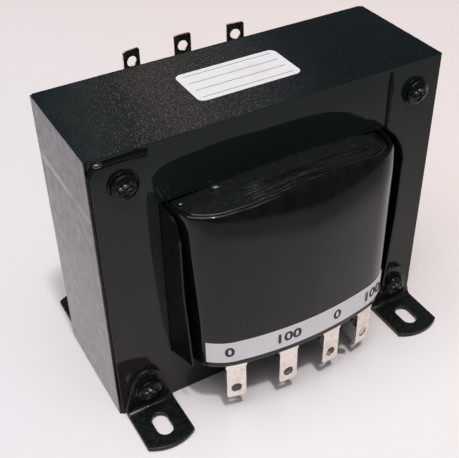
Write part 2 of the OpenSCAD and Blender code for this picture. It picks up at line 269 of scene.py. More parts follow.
    def blend(self, value: Socket, first: Colour, second: Colour) -> Socket:
        """Mixes two colours.

        Args:
            value: 0 for the first colour, 1 for the second.
            first: A colour, linear.
            second: A colour, linear.

        Returns:
            The mixed colour.
        """
        made = self.node("Mix", data_type="RGBA")
        made.inputs["A"].default_value = (*first, 1)
        made.inputs["B"].default_value = (*second, 1)
        self.link(value, made.inputs["Factor"])
        return made.outputs["Result"]

    def repaint(self, under: Socket, value: Socket, paint: Colour) -> Socket:
        """Lays a colour over another where a value is high.

        Args:
            under: The colour underneath.
            value: 0 where it shows, 1 where it is covered.
            paint: The colour on top, linear.

        Returns:
            The covered colour.
        """
        made = self.node("Mix", data_type="RGBA")
        made.inputs["B"].default_value = (*paint, 1)
        self.link(under, made.inputs["A"])
        self.link(value, made.inputs["Factor"])
        return made.outputs["Result"]

    def relief(self, height: Socket, depth: float) -> None:
        """Tilts the surface by a height.

        Args:
            height: The height, 0 to 1.
            depth: Millimetres that a height of 1 stands for.
        """
        made = self.node("Bump")
        made.inputs["Distance"].default_value = depth * MM
        made.inputs["Strength"].default_value = 1.0
        self.link(height, made.inputs["Height"])
        if self.surface.inputs["Normal"].is_linked:
            before = self.surface.inputs["Normal"].links[0].from_socket
            self.link(before, made.inputs["Normal"])
        self.link(made.outputs["Normal"], self.surface.inputs["Normal"])

    def paint(self, colour: Socket, uneven: Socket, gloss: Pair) -> None:
        """Gives the surface its colour and roughness.

        Args:
            colour: The colour.
            uneven: Noise that the roughness follows.
            gloss: Roughness where the noise is low and where it is high.
        """
        self.link(colour, self.surface.inputs["Base Color"])
        self.link(self.remap(uneven, *self.usual, gloss), self.surface.inputs["Roughness"])

    def fix(self, **values: float) -> None:
        """Sets constant inputs of the surface.

        Args:
            **values: Inputs by name, with underscores for spaces.
        """
        for key, value in values.items():
            self.surface.inputs[key.replace("_", " ")].default_value = value


@dataclass(frozen=True)
class Varnish:
    """Black dipping varnish over metal or paper.

    Attributes:
        name: The material's name.
        dark: Colour where the varnish is thick, and the top of a plate with painted reflection.
        thin: Colour where it is thin, and the lighter painted reflection low on a plate.
        gloss: Lowest and highest roughness.
        sag: Height of its slow waves in millimetres, and the waves in each millimetre.
        grit: The same for its fine grain, if it has one.
        ior: Refractive index of the film.
        reflection_fall: Heights between which a plate's painted reflection turns from the dark colour to the
            lighter one below, in millimetres.
        patch: Patches of colour in each wave.
        spread: Noise between which the film goes from thick to thin.
        painted_light_wander_m: How far the height of that painted turn strays.
    """

    name: str
    dark: Colour
    thin: Colour
    gloss: Pair
    sag: Pair
    grit: Optional[Pair] = None
    ior: float = 1.5
    reflection_fall: Optional[Pair] = None
    patch: float = 2.2
    spread: Pair = (0.35, 0.68)
    painted_light_wander_m: float = 0.012

    def material(self) -> bpy.types.Material:
        """Makes the node material of this varnish.

        Returns:
            The material.
        """
        graph = Graph(self.name)
        sag_h, sag_per_mm = self.sag
        patches = graph.noise(sag_per_mm * self.patch, 4.0)
        # On a plate this is painted reflection: the colour turns lighter towards the bottom, where the plate
        # mirrors the nearer floor.
        if self.reflection_fall:
            level = graph.sum(graph.along("Z"), patches, self.painted_light_wander_m)
            high, low = (z * MM + self.painted_light_wander_m / 2 for z in self.reflection_fall)
            share = graph.remap(level, high, low)
        else:
            share = graph.remap(patches, *self.spread)
        graph.paint(graph.blend(share, self.dark, self.thin), patches, self.gloss)
        graph.relief(graph.noise(sag_per_mm, 2.0), sag_h)
        if self.grit:
            grit_h, grit_per_mm = self.grit
            graph.relief(graph.noise(grit_per_mm, 3.0, 0.6), grit_h)
        graph.fix(IOR=self.ior)
        return graph.material


@dataclass(frozen=True)
class StackEdges:
    """The cut edges of many laminations at the ends of the core, smooth under one even coat of varnish, with
    painted reflection and a painted highlight in their colour.

    Attributes:
        name: The material's name.
        film: Painted reflection: colour of the varnished steel near the floor, lighter where it mirrors the
            bright floor.
        upper: Painted reflection: its darker colour near the top.
        painted_reflection_z_m: Heights between which the one painted reflection turns to the other.
        painted_light_wander_m: How far those heights stray.
        joint: Colour of a painted highlight along the joint between the E and I laminations.
        joint_z: Height of that joint.
        joint_half_m: Half of its width.
        joint_highlight_share: How strongly the painted highlight shows where the clouds are low and where
            they are high.
        rim: Darker colour of the side faces beside the front plate.
        rim_y: Where that darker band ends.
        rim_wander_m: How far its end strays.
        rim_soft_m: Half of the width over which it ends.
        gloss: Lowest and highest roughness.
        grain: Grains in each millimetre.
        grain_h: Height of a grain.
    """

    name: str = "varnished stack edges"
    film: Colour = (0.268, 0.251, 0.254)
    upper: Colour = (0.168, 0.159, 0.163)
    painted_reflection_z_m: Pair = (0.02, 0.105)
    painted_light_wander_m: float = 0.02
    joint: Colour = (0.42, 0.40, 0.405)
    joint_z: float = 76.2
    joint_half_m: float = 0.0018
    joint_highlight_share: Pair = (0.35, 0.9)
    rim: Colour = (0.035, 0.028, 0.032)
    rim_y: float = -18.6
    rim_wander_m: float = 0.0012
    rim_soft_m: float = 0.0003
    gloss: Pair = (0.24, 0.36)
    grain: float = 1.5
    grain_h: float = 0.014

    def material(self) -> bpy.types.Material:
        """Makes the node material of the stack's end edges.

        Returns:
            The material.
        """
        graph = Graph(self.name)
        clouds = graph.noise(0.05, 3.0)
        height = graph.sum(graph.along("Z"), clouds, self.painted_light_wander_m)
        # Painted reflection: the steel is painted lighter low down, where it mirrors the floor, and darker
        # near the top.
        colour = graph.blend(graph.remap(height, *self.painted_reflection_z_m), self.film, self.upper)
        # Painted highlight along the joint between the E and I laminations.
        joint_highlight = graph.band(graph.along("Z"), self.joint_z * MM, self.joint_half_m)
        joint_highlight = graph.times(joint_highlight, graph.remap(clouds, 0.4, 0.6, self.joint_highlight_share))
        colour = graph.repaint(colour, joint_highlight, self.joint)
        # A darker band on the side faces next to the front plate.
        edge = graph.sum(graph.along("Y"), graph.noise(0.2, 2.0), self.rim_wander_m)
        end, soft = self.rim_y * MM, self.rim_soft_m
        colour = graph.repaint(colour, graph.remap(edge, end + soft, end - soft), self.rim)
        graph.paint(colour, graph.noise(0.3, 3.0), self.gloss)
        graph.relief(graph.noise(self.grain, 4.0, 0.7), self.grain_h)
        graph.fix(Metallic=1.0)
        return graph.material


@dataclass(frozen=True)
class StackTop:
    """The upper edges of the laminations, under varnish that dried in grains, with painted reflection and
    painted glint dots in their colour.

    Attributes:
        name: The material's name.
        tones: Places along the core in millimetres, each with the colour of the painted reflection there,
            brightest left of the middle and dark at both ends.
        half: Half of the core's width.
        slant: How far the tones lean along the core as they go back.
        painted_light_wander_m: How far they stray.
        glint_speck: Colour of the painted glint dots.
        pit: Colour of the pits between them.
        fade_right_m: Places between which the painted glint dots and the pits fade to the right, as the
            painted reflection does.
        fade_left_m: Places between which they fade to the left.
        faded: What is left of them at the right and at the left.
        gloss: Lowest and highest roughness.
        grain_h: Height of a grain.
        ior: Refractive index of the film.
    """

    name: str = "varnished stack top"
    tones: tuple[tuple[float, Colour], ...] = (
        (-57, (0.0010, 0.0050, 0.0110)),
        (-47, (0.0050, 0.0105, 0.0130)),
        (-38, (0.0190, 0.0225, 0.0220)),
        (-29, (0.0080, 0.0120, 0.0120)),
        (-18, (0.0520, 0.0430, 0.0420)),
        (-5, (0.0285, 0.0265, 0.0260)),
        (7, (0.0215, 0.0240, 0.0270)),
        (19, (0.0100, 0.0130, 0.0155)),
        (34, (0.0015, 0.0045, 0.0060)),
        (57, (0.0016, 0.0052, 0.0066)),
    )
    half: float = 57.2
    slant: float = -0.25
    painted_light_wander_m: float = 0.016
    glint_speck: Colour = (0.105, 0.099, 0.086)
    pit: Colour = (0.003, 0.004, 0.004)
    fade_right_m: Pair = (0.022, -0.012)
    fade_left_m: Pair = (-0.052, -0.036)
    faded: Pair = (0.12, 0.25)
    gloss: Pair = (0.26, 0.4)
    grain_h: float = 0.03
    ior: float = 1.28

    def material(self) -> bpy.types.Material:
        """Makes the node material of the stack's top.

        Returns:
            The material.
        """
        graph = Graph(self.name)
        place = graph.sum(graph.along("X"), graph.along("Y"), self.slant)
        # Painted reflection along the top, brightest left of the middle and dark at both ends.
        colour = graph.stops(graph.sum(place, graph.noise(0.07, 3.0), self.painted_light_wander_m), self.half, self.tones)
        right = graph.remap(place, *self.fade_right_m, (self.faded[0], 1.0))
        painted_glow = graph.times(right, graph.remap(place, *self.fade_left_m, (self.faded[1], 1.0)))
        # Painted glints as bright dots, and darker pits, shown only where the painted reflection is bright.
        glint_specks = graph.remap(graph.cells(1.35), 0.34, 0.2)
        grain = graph.noise(1.7, 2.0, 0.6)
        for share, tone in ((glint_specks, self.glint_speck), (graph.remap(grain, 0.47, 0.36), self.pit)):
            colour = graph.repaint(colour, graph.times(share, painted_glow), tone)
        graph.paint(colour, graph.noise(0.4, 3.0), self.gloss)
        graph.relief(grain, self.grain_h)
        graph.fix(IOR=self.ior)
        return graph.material


@dataclass(frozen=True)
class TinnedTag:
    """Brass dipped in solder: bright, soft-edged and slightly uneven.

    Attributes:
        name: The material's name.
        bright: Colour of the clean solder.
        dull: Colour of its duller clouds.
        gloss: Lowest and highest roughness.
        sag: Height of its slow waves.
    """

    name: str = "tinned tag"
    bright: Colour = (0.87, 0.80, 0.745)
    dull: Colour = (0.74, 0.66, 0.58)
    gloss: Pair = (0.2, 0.32)
    sag: float = 0.05

    def material(self) -> bpy.types.Material:
        """Makes the node material of a tinned tag.

        Returns:
            The material.
        """
        graph = Graph(self.name)
        cloud = graph.noise(0.5, 3.0, 0.5)
        graph.paint(graph.blend(graph.remap(cloud, 0.45, 0.75), self.bright, self.dull), cloud, self.gloss)
        graph.relief(graph.noise(0.6, 2.0), self.sag)
        graph.fix(Metallic=1.0)
        return graph.material


@dataclass(frozen=True)
class Paper:
    """Paper or board.

    Attributes:
        name: The material's name.
        face: Its colour.
        fibre: Colour of the darker fibres.
        gloss: Its lowest roughness.
        dulled: How much rougher its fibres are.
        fibre_h: Height of its fibres.
    """

    name: str
    face: Colour
    fibre: Colour
    gloss: float = 0.5
    dulled: float = 0.12
    fibre_h: float = 0.015

    def material(self) -> bpy.types.Material:
        """Makes the node material of the paper.

        Returns:
            The material.
        """
        graph = Graph(self.name)
        fibres = graph.noise(2.5, 4.0, 0.7, graph.stretched((0.4, 1.0, 1.0)))
        stains = graph.noise(0.09, 3.0)
        colour = graph.blend(graph.remap(fibres, 0.5, 0.8, (0.0, 0.55)), self.face, self.fibre)
        colour = graph.repaint(colour, graph.remap(stains, 0.5, 0.75, (0.0, 0.35)), self.fibre)
        graph.paint(colour, fibres, (self.gloss, self.gloss + self.dulled))
        graph.relief(fibres, self.fibre_h)
        return graph.material


@dataclass(frozen=True)
class Winding:
    """Enamelled copper wire laid side by side, its turns running round the coil.

    Attributes:
        name: The material's name.
        copper: Colour along the middle of a turn.
        enamel: Colour between the turns.
        turns_per_mm: Turns in each millimetre.
        wave: Waves that the texture draws in each unit of its scale.
        gloss: Lowest and highest roughness.
        depth: Depth between the turns.
        metal: Share of the surface that is bare metal.
    """

    name: str = "enamelled wire"
    copper: Colour = (0.42, 0.13, 0.05)
    enamel: Colour = (0.10, 0.035, 0.018)
    turns_per_mm: float = 0.8
    wave: float = 3.2
    gloss: Pair = (0.2, 0.35)
    depth: float = 0.3
    metal: float = 0.6

    def material(self) -> bpy.types.Material:
        """Makes the node material of a layer of wire.

        Returns:
            The material.
        """
        graph = Graph(self.name)
        wave = graph.node("TexWave", bands_direction="Z", wave_profile="SIN")
        wave.inputs["Scale"].default_value = self.turns_per_mm / MM / self.wave
        graph.link(graph.place, wave.inputs["Vector"])
        turns = wave.outputs["Fac"]
        graph.paint(graph.blend(turns, self.enamel, self.copper), graph.noise(0.5), self.gloss)
        graph.relief(turns, self.depth)
        graph.fix(Metallic=self.metal)
        return graph.material


class Finish(Enum):
    """Every finish on the transformer, with the record's slot that it belongs to."""

    STACK = ("stack", StackEdges())
    STACK_TOP = ("stack", StackTop())
    # Painted reflection: the plate is painted lighter towards the bottom, from 84 mm down to 22 mm.
    PLATE = ("end_laminations", Varnish(
        "varnished plate", (0.0125, 0.0195, 0.0170), (0.022, 0.018, 0.019), gloss=(0.035, 0.06),
        sag=(0.03, 0.06), ior=1.32, reflection_fall=(84, 22)))  # fmt: skip
    WRAP = ("wrap", Varnish(
        "varnished wrap", (0.003, 0.003, 0.004), (0.008, 0.006, 0.005), gloss=(0.1, 0.16), sag=(0.04, 0.1),
        grit=(0.006, 1.4), ior=1.38))  # fmt: skip
    COIL_END = ("pressboard", Varnish(
        "soaked coil end", (0.008, 0.011, 0.010), (0.014, 0.014, 0.012), gloss=(0.14, 0.3), sag=(0.05, 0.3),
        grit=(0.02, 1.2), ior=1.4))  # fmt: skip
    LINER = ("pressboard", Varnish(
        "varnished board", (0.003, 0.005, 0.0045), (0.005, 0.006, 0.005), gloss=(0.16, 0.28), sag=(0.05, 0.1),
        grit=(0.01, 1.2), ior=1.3))  # fmt: skip
    BOARD = ("pressboard", Paper("pressboard", (0.05, 0.03, 0.015), (0.02, 0.012, 0.006), 0.3))
    WIRE = ("wire", Winding())
    TAG = ("tags", TinnedTag())
    FASTENER = ("fasteners", Varnish(
        "varnished fastener", (0.004, 0.006, 0.0055), (0.006, 0.007, 0.006), gloss=(0.03, 0.08),
        sag=(0.26, 0.6), ior=1.29))  # fmt: skip
    FOOT = ("feet", Varnish(
        "varnished foot", (0.003, 0.007, 0.006), (0.011, 0.009, 0.008), gloss=(0.2, 0.36), sag=(0.05, 0.3),
        grit=(0.06, 1.6), ior=1.4))  # fmt: skip
    BEAD = ("end_laminations", Varnish(
        "varnish bead", (0.002, 0.005, 0.0045), (0.006, 0.007, 0.006), gloss=(0.05, 0.1), sag=(0.06, 0.3),
        ior=1.36))  # fmt: skip
    DROP = ("pressboard", Varnish(
        "varnish drop", (0.01, 0.013, 0.012), (0.014, 0.014, 0.012), gloss=(0.04, 0.08), sag=(0.1, 0.5),
        ior=2.0))  # fmt: skip
    RUN = ("end_laminations", Varnish(
        "dull varnish run", (0.003, 0.005, 0.0045), (0.005, 0.006, 0.005), gloss=(0.08, 0.14),
        sag=(0.06, 0.3), ior=1.18))  # fmt: skip
    LABEL = ("labels", Paper("label paper", (0.80, 0.77, 0.80), (0.66, 0.63, 0.65), 0.42))
    INK = ("labels", Paper("printing ink", (0.012, 0.012, 0.015), (0.03, 0.03, 0.035), 0.45))

    @property
    def slot(self) -> str:
        """The record's material slot."""
        return self.value[0]

    def material(self) -> bpy.types.Material:
        """The finish's node material, made on first use.

        Returns:
            The material.
        """
        name = self.value[1].name
        return bpy.data.materials.get(name) or self.value[1].material()


# ---------------------------------------------------------------- mesh helpers


def scene_object(name: str, data: bpy.types.ID) -> bpy.types.Object:
    """Puts a mesh, a light or a camera in the scene.

    Args:
        name: The object's name.
        data: What it shows.

    Returns:
        The new object, at the origin.
    """
    made = bpy.data.objects.new(name, data)
    bpy.context.scene.collection.objects.link(made)
    return made


def mesh_object(name: str, mesh: Mesh) -> bpy.types.Object:
    """Puts a shape in the scene.

    Args:
        name: The object's name.
        mesh: The shape, in metres, which is freed.

    Returns:
        The new object.
    """
    data = bpy.data.meshes.new(name)
    mesh.to_mesh(data)
    mesh.free()
    return scene_object(name, data)


def finish_piece(
    name: str,
    mesh: Mesh,
    finish: Finish,
    replaces: Iterable[str] = (),
    flat_area: float = 6.0,
    crease: float = 50.0,
) -> bpy.types.Object:
    """Turns a bmesh into a dressed piece that rides on the body.

    Args:
        name: The piece's name.
        mesh: Its shape, in metres, which is freed.
        finish: Its finish.
        replaces: CAD nodes that it stands for.
        flat_area: Faces over this many square millimetres are shaded flat.
        crease: Edges that turn by more than this many degrees stay sharp.

    Returns:
        The new object.
    """
    bmesh.ops.recalc_face_normals(mesh, faces=mesh.faces[:])
    for face in mesh.faces:
        face.smooth = face.calc_area() < flat_area * MM * MM
    for edge in mesh.edges:
        edge.smooth = len(edge.link_faces) == 2 and edge.calc_face_angle(0.0) < math.radians(crease)
    piece = mesh_object(name, mesh)
    piece.data.materials.append(finish.material())
    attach(piece, BODY)
    nodes = tuple(replaces)
    if nodes:
        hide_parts(*nodes)
    LOG.info("piece %-26s %6d faces", name, len(piece.data.polygons))
    return piece


def dress_node(name: str, finish: Finish) -> None:
    """Gives a CAD node that stays a finish.

    Args:
        name: The node.
        finish: Its finish.
    """
    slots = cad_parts[name].data.materials
    slots.clear()
    slots.append(finish.material())


def merged_node(name: str) -> Mesh:
    """A merged copy of a CAD node, with its flat faces joined.

    Args:
        name: The node.

    Returns:
        The copy, in metres.
    """
    mesh = bmesh.new()
    mesh.from_mesh(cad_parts[name].data)
    bmesh.ops.remove_doubles(mesh, verts=mesh.verts[:], dist=2e-6)
    bmesh.ops.dissolve_limit(
        mesh, angle_limit=math.radians(1.0), verts=mesh.verts[:], edges=mesh.edges[:], delimit={"NORMAL"}
    )
    return mesh


def whole(mesh: Mesh) -> list:
    """Every vertex, edge and face of a shape."""
    return mesh.verts[:] + mesh.edges[:] + mesh.faces[:]


def verts_of(geom: Iterable) -> list[bmesh.types.BMVert]:
    """The vertices among mixed elements."""
    return [item for item in geom if isinstance(item, bmesh.types.BMVert)]


def bevel(mesh: Mesh, edges: Sequence[bmesh.types.BMEdge], width: float, segments: int) -> None:
    """Bevels edges.

    Args:
        mesh: The shape.
        edges: The edges.
        width: Width of the bevel, in millimetres.
        segments: Faces across it.
    """
    bmesh.ops.bevel(
        mesh, geom=edges, offset=width * MM, offset_type="OFFSET", segments=segments, profile=0.5,
        affect="EDGES", clamp_overlap=True, material=-1,
    )  # fmt: skip


def soften_edges(mesh: Mesh, soften: float, segments: int) -> None:
    """Rounds the edges of a shape that turn by more than 40 degrees.

    Args:
        mesh: The shape.
        soften: Width of the rounding, in millimetres.
        segments: Faces across the rounding.
    """
    sharp = [e for e in mesh.edges if len(e.link_faces) == 2 and e.calc_face_angle(0.0) > math.radians(40)]
    bevel(mesh, sharp, soften, segments)


def thicken(mesh: Mesh, outward: Vector, thick: float) -> None:
    """Turns a sheet's faces outwards and gives it its thickness behind them.

    Args:
        mesh: The sheet.
        outward: The way that its first face should look.
        thick: The thickness, in millimetres.
    """
    bmesh.ops.recalc_face_normals(mesh, faces=mesh.faces[:])
    if mesh.faces[:][0].normal.dot(outward) < 0:
        bmesh.ops.reverse_faces(mesh, faces=mesh.faces[:])
    bmesh.ops.solidify(mesh, geom=mesh.faces[:], thickness=thick * MM)


def copy_of_node(name: str, soften: float, segments: int = 2) -> Mesh:
    """A merged copy of a CAD node with its sharp edges rounded.

    Args:
        name: The node.
        soften: Width of the rounding, in millimetres.
        segments: Faces across the rounding.

    Returns:
        The copy, in metres.
    """
    mesh = merged_node(name)
    soften_edges(mesh, soften, segments)
    return mesh


def held(share: float) -> float:
    """A share, held between 0 and 1."""
    return min(max(share, 0.0), 1.0)


def smooth(share: float) -> float:
    """An even start and stop: 0 below 0, 1 above 1 and a smooth step between."""
    inside = held(share)
    return inside * inside * (3 - 2 * inside)


def node_box_mm(name: str) -> tuple[Vector, Vector]:
    """Lowest and highest corner of a CAD node, in millimetres."""
    low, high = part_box(name)
    return low / MM, high / MM


# ---------------------------------------------------------------- studio


@dataclass(frozen=True)
class PaintedLightZone:
    """A part of the floor in another tone: painted light where it is lighter, painted shade where it is
    darker.

    Attributes:
        colour: Its colour.
        along_y_m: Where it begins and where it is full, towards the front.
        share: How much of the floor it covers where it is full.
        along_x_m: The same sideways, or None if it runs right across.
    """

    colour: Colour
    along_y_m: Pair
    share: float = 1.0
    along_x_m: Optional[Pair] = None

    def lay(self, graph: Graph, under: Socket) -> Socket:
        """Lays this part's painted light and shade over a colour.

        Args:
            graph: The floor's material.
            under: The colour.

        Returns:
            The colour with the zone.
        """
        if self.along_x_m:
            sideways = graph.remap(graph.along("X"), *self.along_x_m, (0.0, self.share))
            cover = graph.times(sideways, graph.remap(graph.along("Y"), *self.along_y_m))
        else:
            cover = graph.remap(graph.along("Y"), *self.along_y_m, (0.0, self.share))
        return graph.repaint(under, cover, self.colour)


@dataclass
class Studio:
    """The floor, the light and the camera.

    Attributes:
        azimuth: Degrees that the camera stands to the left of the front.
        elevation: Degrees that it looks down.
        roll: Degrees that it is turned about its axis.
        eye_m: Where it stands.
        lens: Focal length in millimetres, on a sensor 36 mm wide.
        floor_half_m: Half of the floor's width.
        left: Colour of the floor at the left, painted lighter and cooler there as if more light fell from the
            left.
        right: Its colour at the right, a little darker and warmer: painted shade.
        light_turn_m: Places along X between which the one turns to the other.
        painted_light_zones: Parts of it with painted light and painted shade.
        floor_gloss: Its lowest and highest roughness.
        sun_power: Power of the lamp.
        sun_wide: Degrees that the lamp is wide.
        sun_colour: Its colour.
        sun_from: The way to it.
        ceiling_from: The way to the middle of the ceiling light.
        ceiling_edge: Cosines from that way between which the light begins and is full.
        ceiling_glow: Strength of the room and of the ceiling light.
        air: Colour of both.
    """

    azimuth: float = -28.71
    elevation: float = 38.37
    roll: float = -1.27
    eye_m: Point = (-0.1095, -0.1901, 0.2118)
    lens: float = 66.5
    floor_half_m: float = 4.0
    # Painted light: the floor is painted lighter and cooler at the left than at the right, as if more light
    # fell from the left.
    left: Colour = (0.80, 0.765, 0.815)
    right: Colour = (0.83, 0.74, 0.73)
    light_turn_m: Pair = (-0.16, 0.12)
    painted_light_zones: tuple[PaintedLightZone, ...] = (
        # Painted light: the floor is lighter in front. Painted shade: a darker band in front of the core and
        # a darker patch at the front right, which the front plate mirrors, and a nearly black floor far in
        # front.
        PaintedLightZone((0.88, 0.85, 0.85), (0.02, -0.08), 0.6),
        PaintedLightZone((0.46, 0.45, 0.45), (-0.124, -0.154), 0.8),
        PaintedLightZone((0.40, 0.39, 0.39), (-0.02, -0.06), 0.5, (0.08, 0.15)),
        PaintedLightZone((0.10, 0.10, 0.10), (-0.27, -0.37)),
    )
    floor_gloss: Pair = (0.16, 0.24)
    sun_power: float = 1.3
    sun_wide: float = 4.5
    sun_colour: Colour = (1.0, 0.97, 0.95)
    sun_from: Point = (-0.03, -0.34, 0.94)
    ceiling_from: Point = (-0.16, -0.12, 1.0)
    ceiling_edge: Pair = (0.82, 0.95)
    ceiling_glow: Pair = (0.12, 3.05)
    air: Colour = (0.97, 0.99, 1.0)

    def camera(self) -> None:
        """Makes the camera and gives it to the scene."""
        turn, lift, roll = (math.radians(a) for a in (self.azimuth, self.elevation, self.roll))
        back = Vector((math.sin(turn) * math.cos(lift), -math.cos(turn) * math.cos(lift), math.sin(lift)))
        right = (-back).cross(Vector((0, 0, 1))).normalized()
        up = right.cross(-back)
        level = Matrix((right, up, back)).transposed()
        data = bpy.data.cameras.new("camera")
        data.lens = self.lens
        data.sensor_width = 36.0
        data.clip_start = 0.01
        camera = scene_object("camera", data)
        facing = level @ Matrix.Rotation(roll, 3, "Z")
        camera.matrix_world = Matrix.Translation(self.eye_m) @ facing.to_4x4()
        bpy.context.scene.camera = camera

    def floor(self) -> None:
        """Lays a pale, slightly glossy sheet, painted lighter at the left and in front, with patches of
        painted shade, mostly outside the camera's view, that the plate and coil reflect.
        """
        mesh = bmesh.new()
        bmesh.ops.create_grid(mesh, x_segments=8, y_segments=8, size=self.floor_half_m)
        floor = mesh_object("floor", mesh)
        graph = Graph("floor paint")
        tint_and_painted_light = graph.blend(graph.remap(graph.along("X"), *self.light_turn_m), self.left, self.right)
        for painted_zone in self.painted_light_zones:
            tint_and_painted_light = painted_zone.lay(graph, tint_and_painted_light)
        graph.paint(tint_and_painted_light, graph.noise(0.004, 2.0), self.floor_gloss)
        floor.data.materials.append(graph.material)

    def light(self) -> None:
        """One compact lamp high in front, a wide pale ceiling and a dim room."""
        lamp = bpy.data.lights.new("lamp", "SUN")
        lamp.energy = self.sun_power
        lamp.angle = math.radians(self.sun_wide)
        lamp.color = self.sun_colour
        scene_object("lamp", lamp).rotation_euler = Vector(self.sun_from).to_track_quat("Z", "Y").to_euler()
        world = bpy.data.worlds.new("room")
        bpy.context.scene.world = world
        world.use_nodes = True
        tree = world.node_tree
        tree.nodes.clear()
        output = tree.nodes.new("ShaderNodeOutputWorld")
        background = tree.nodes.new("ShaderNodeBackground")
        where = tree.nodes.new("ShaderNodeTexCoord")
        toward = tree.nodes.new("ShaderNodeVectorMath")
        toward.operation = "DOT_PRODUCT"
        toward.inputs[1].default_value = Vector(self.ceiling_from).normalized()
        ramp = tree.nodes.new("ShaderNodeMapRange")
        ramp.interpolation_type = "SMOOTHSTEP"
        set_range(ramp, self.ceiling_edge, self.ceiling_glow)
        tree.links.new(where.outputs["Generated"], toward.inputs[0])
        tree.links.new(toward.outputs["Value"], ramp.inputs["Value"])
        tree.links.new(ramp.outputs["Result"], background.inputs["Strength"])
        background.inputs["Color"].default_value = (*self.air, 1)
        tree.links.new(background.outputs["Background"], output.inputs["Surface"])
        bpy.context.scene.view_settings.view_transform = "Standard"

    def build(self) -> None:
        """Sets up the whole studio."""
        self.camera()
        self.floor()
        self.light()


# ---------------------------------------------------------------- core


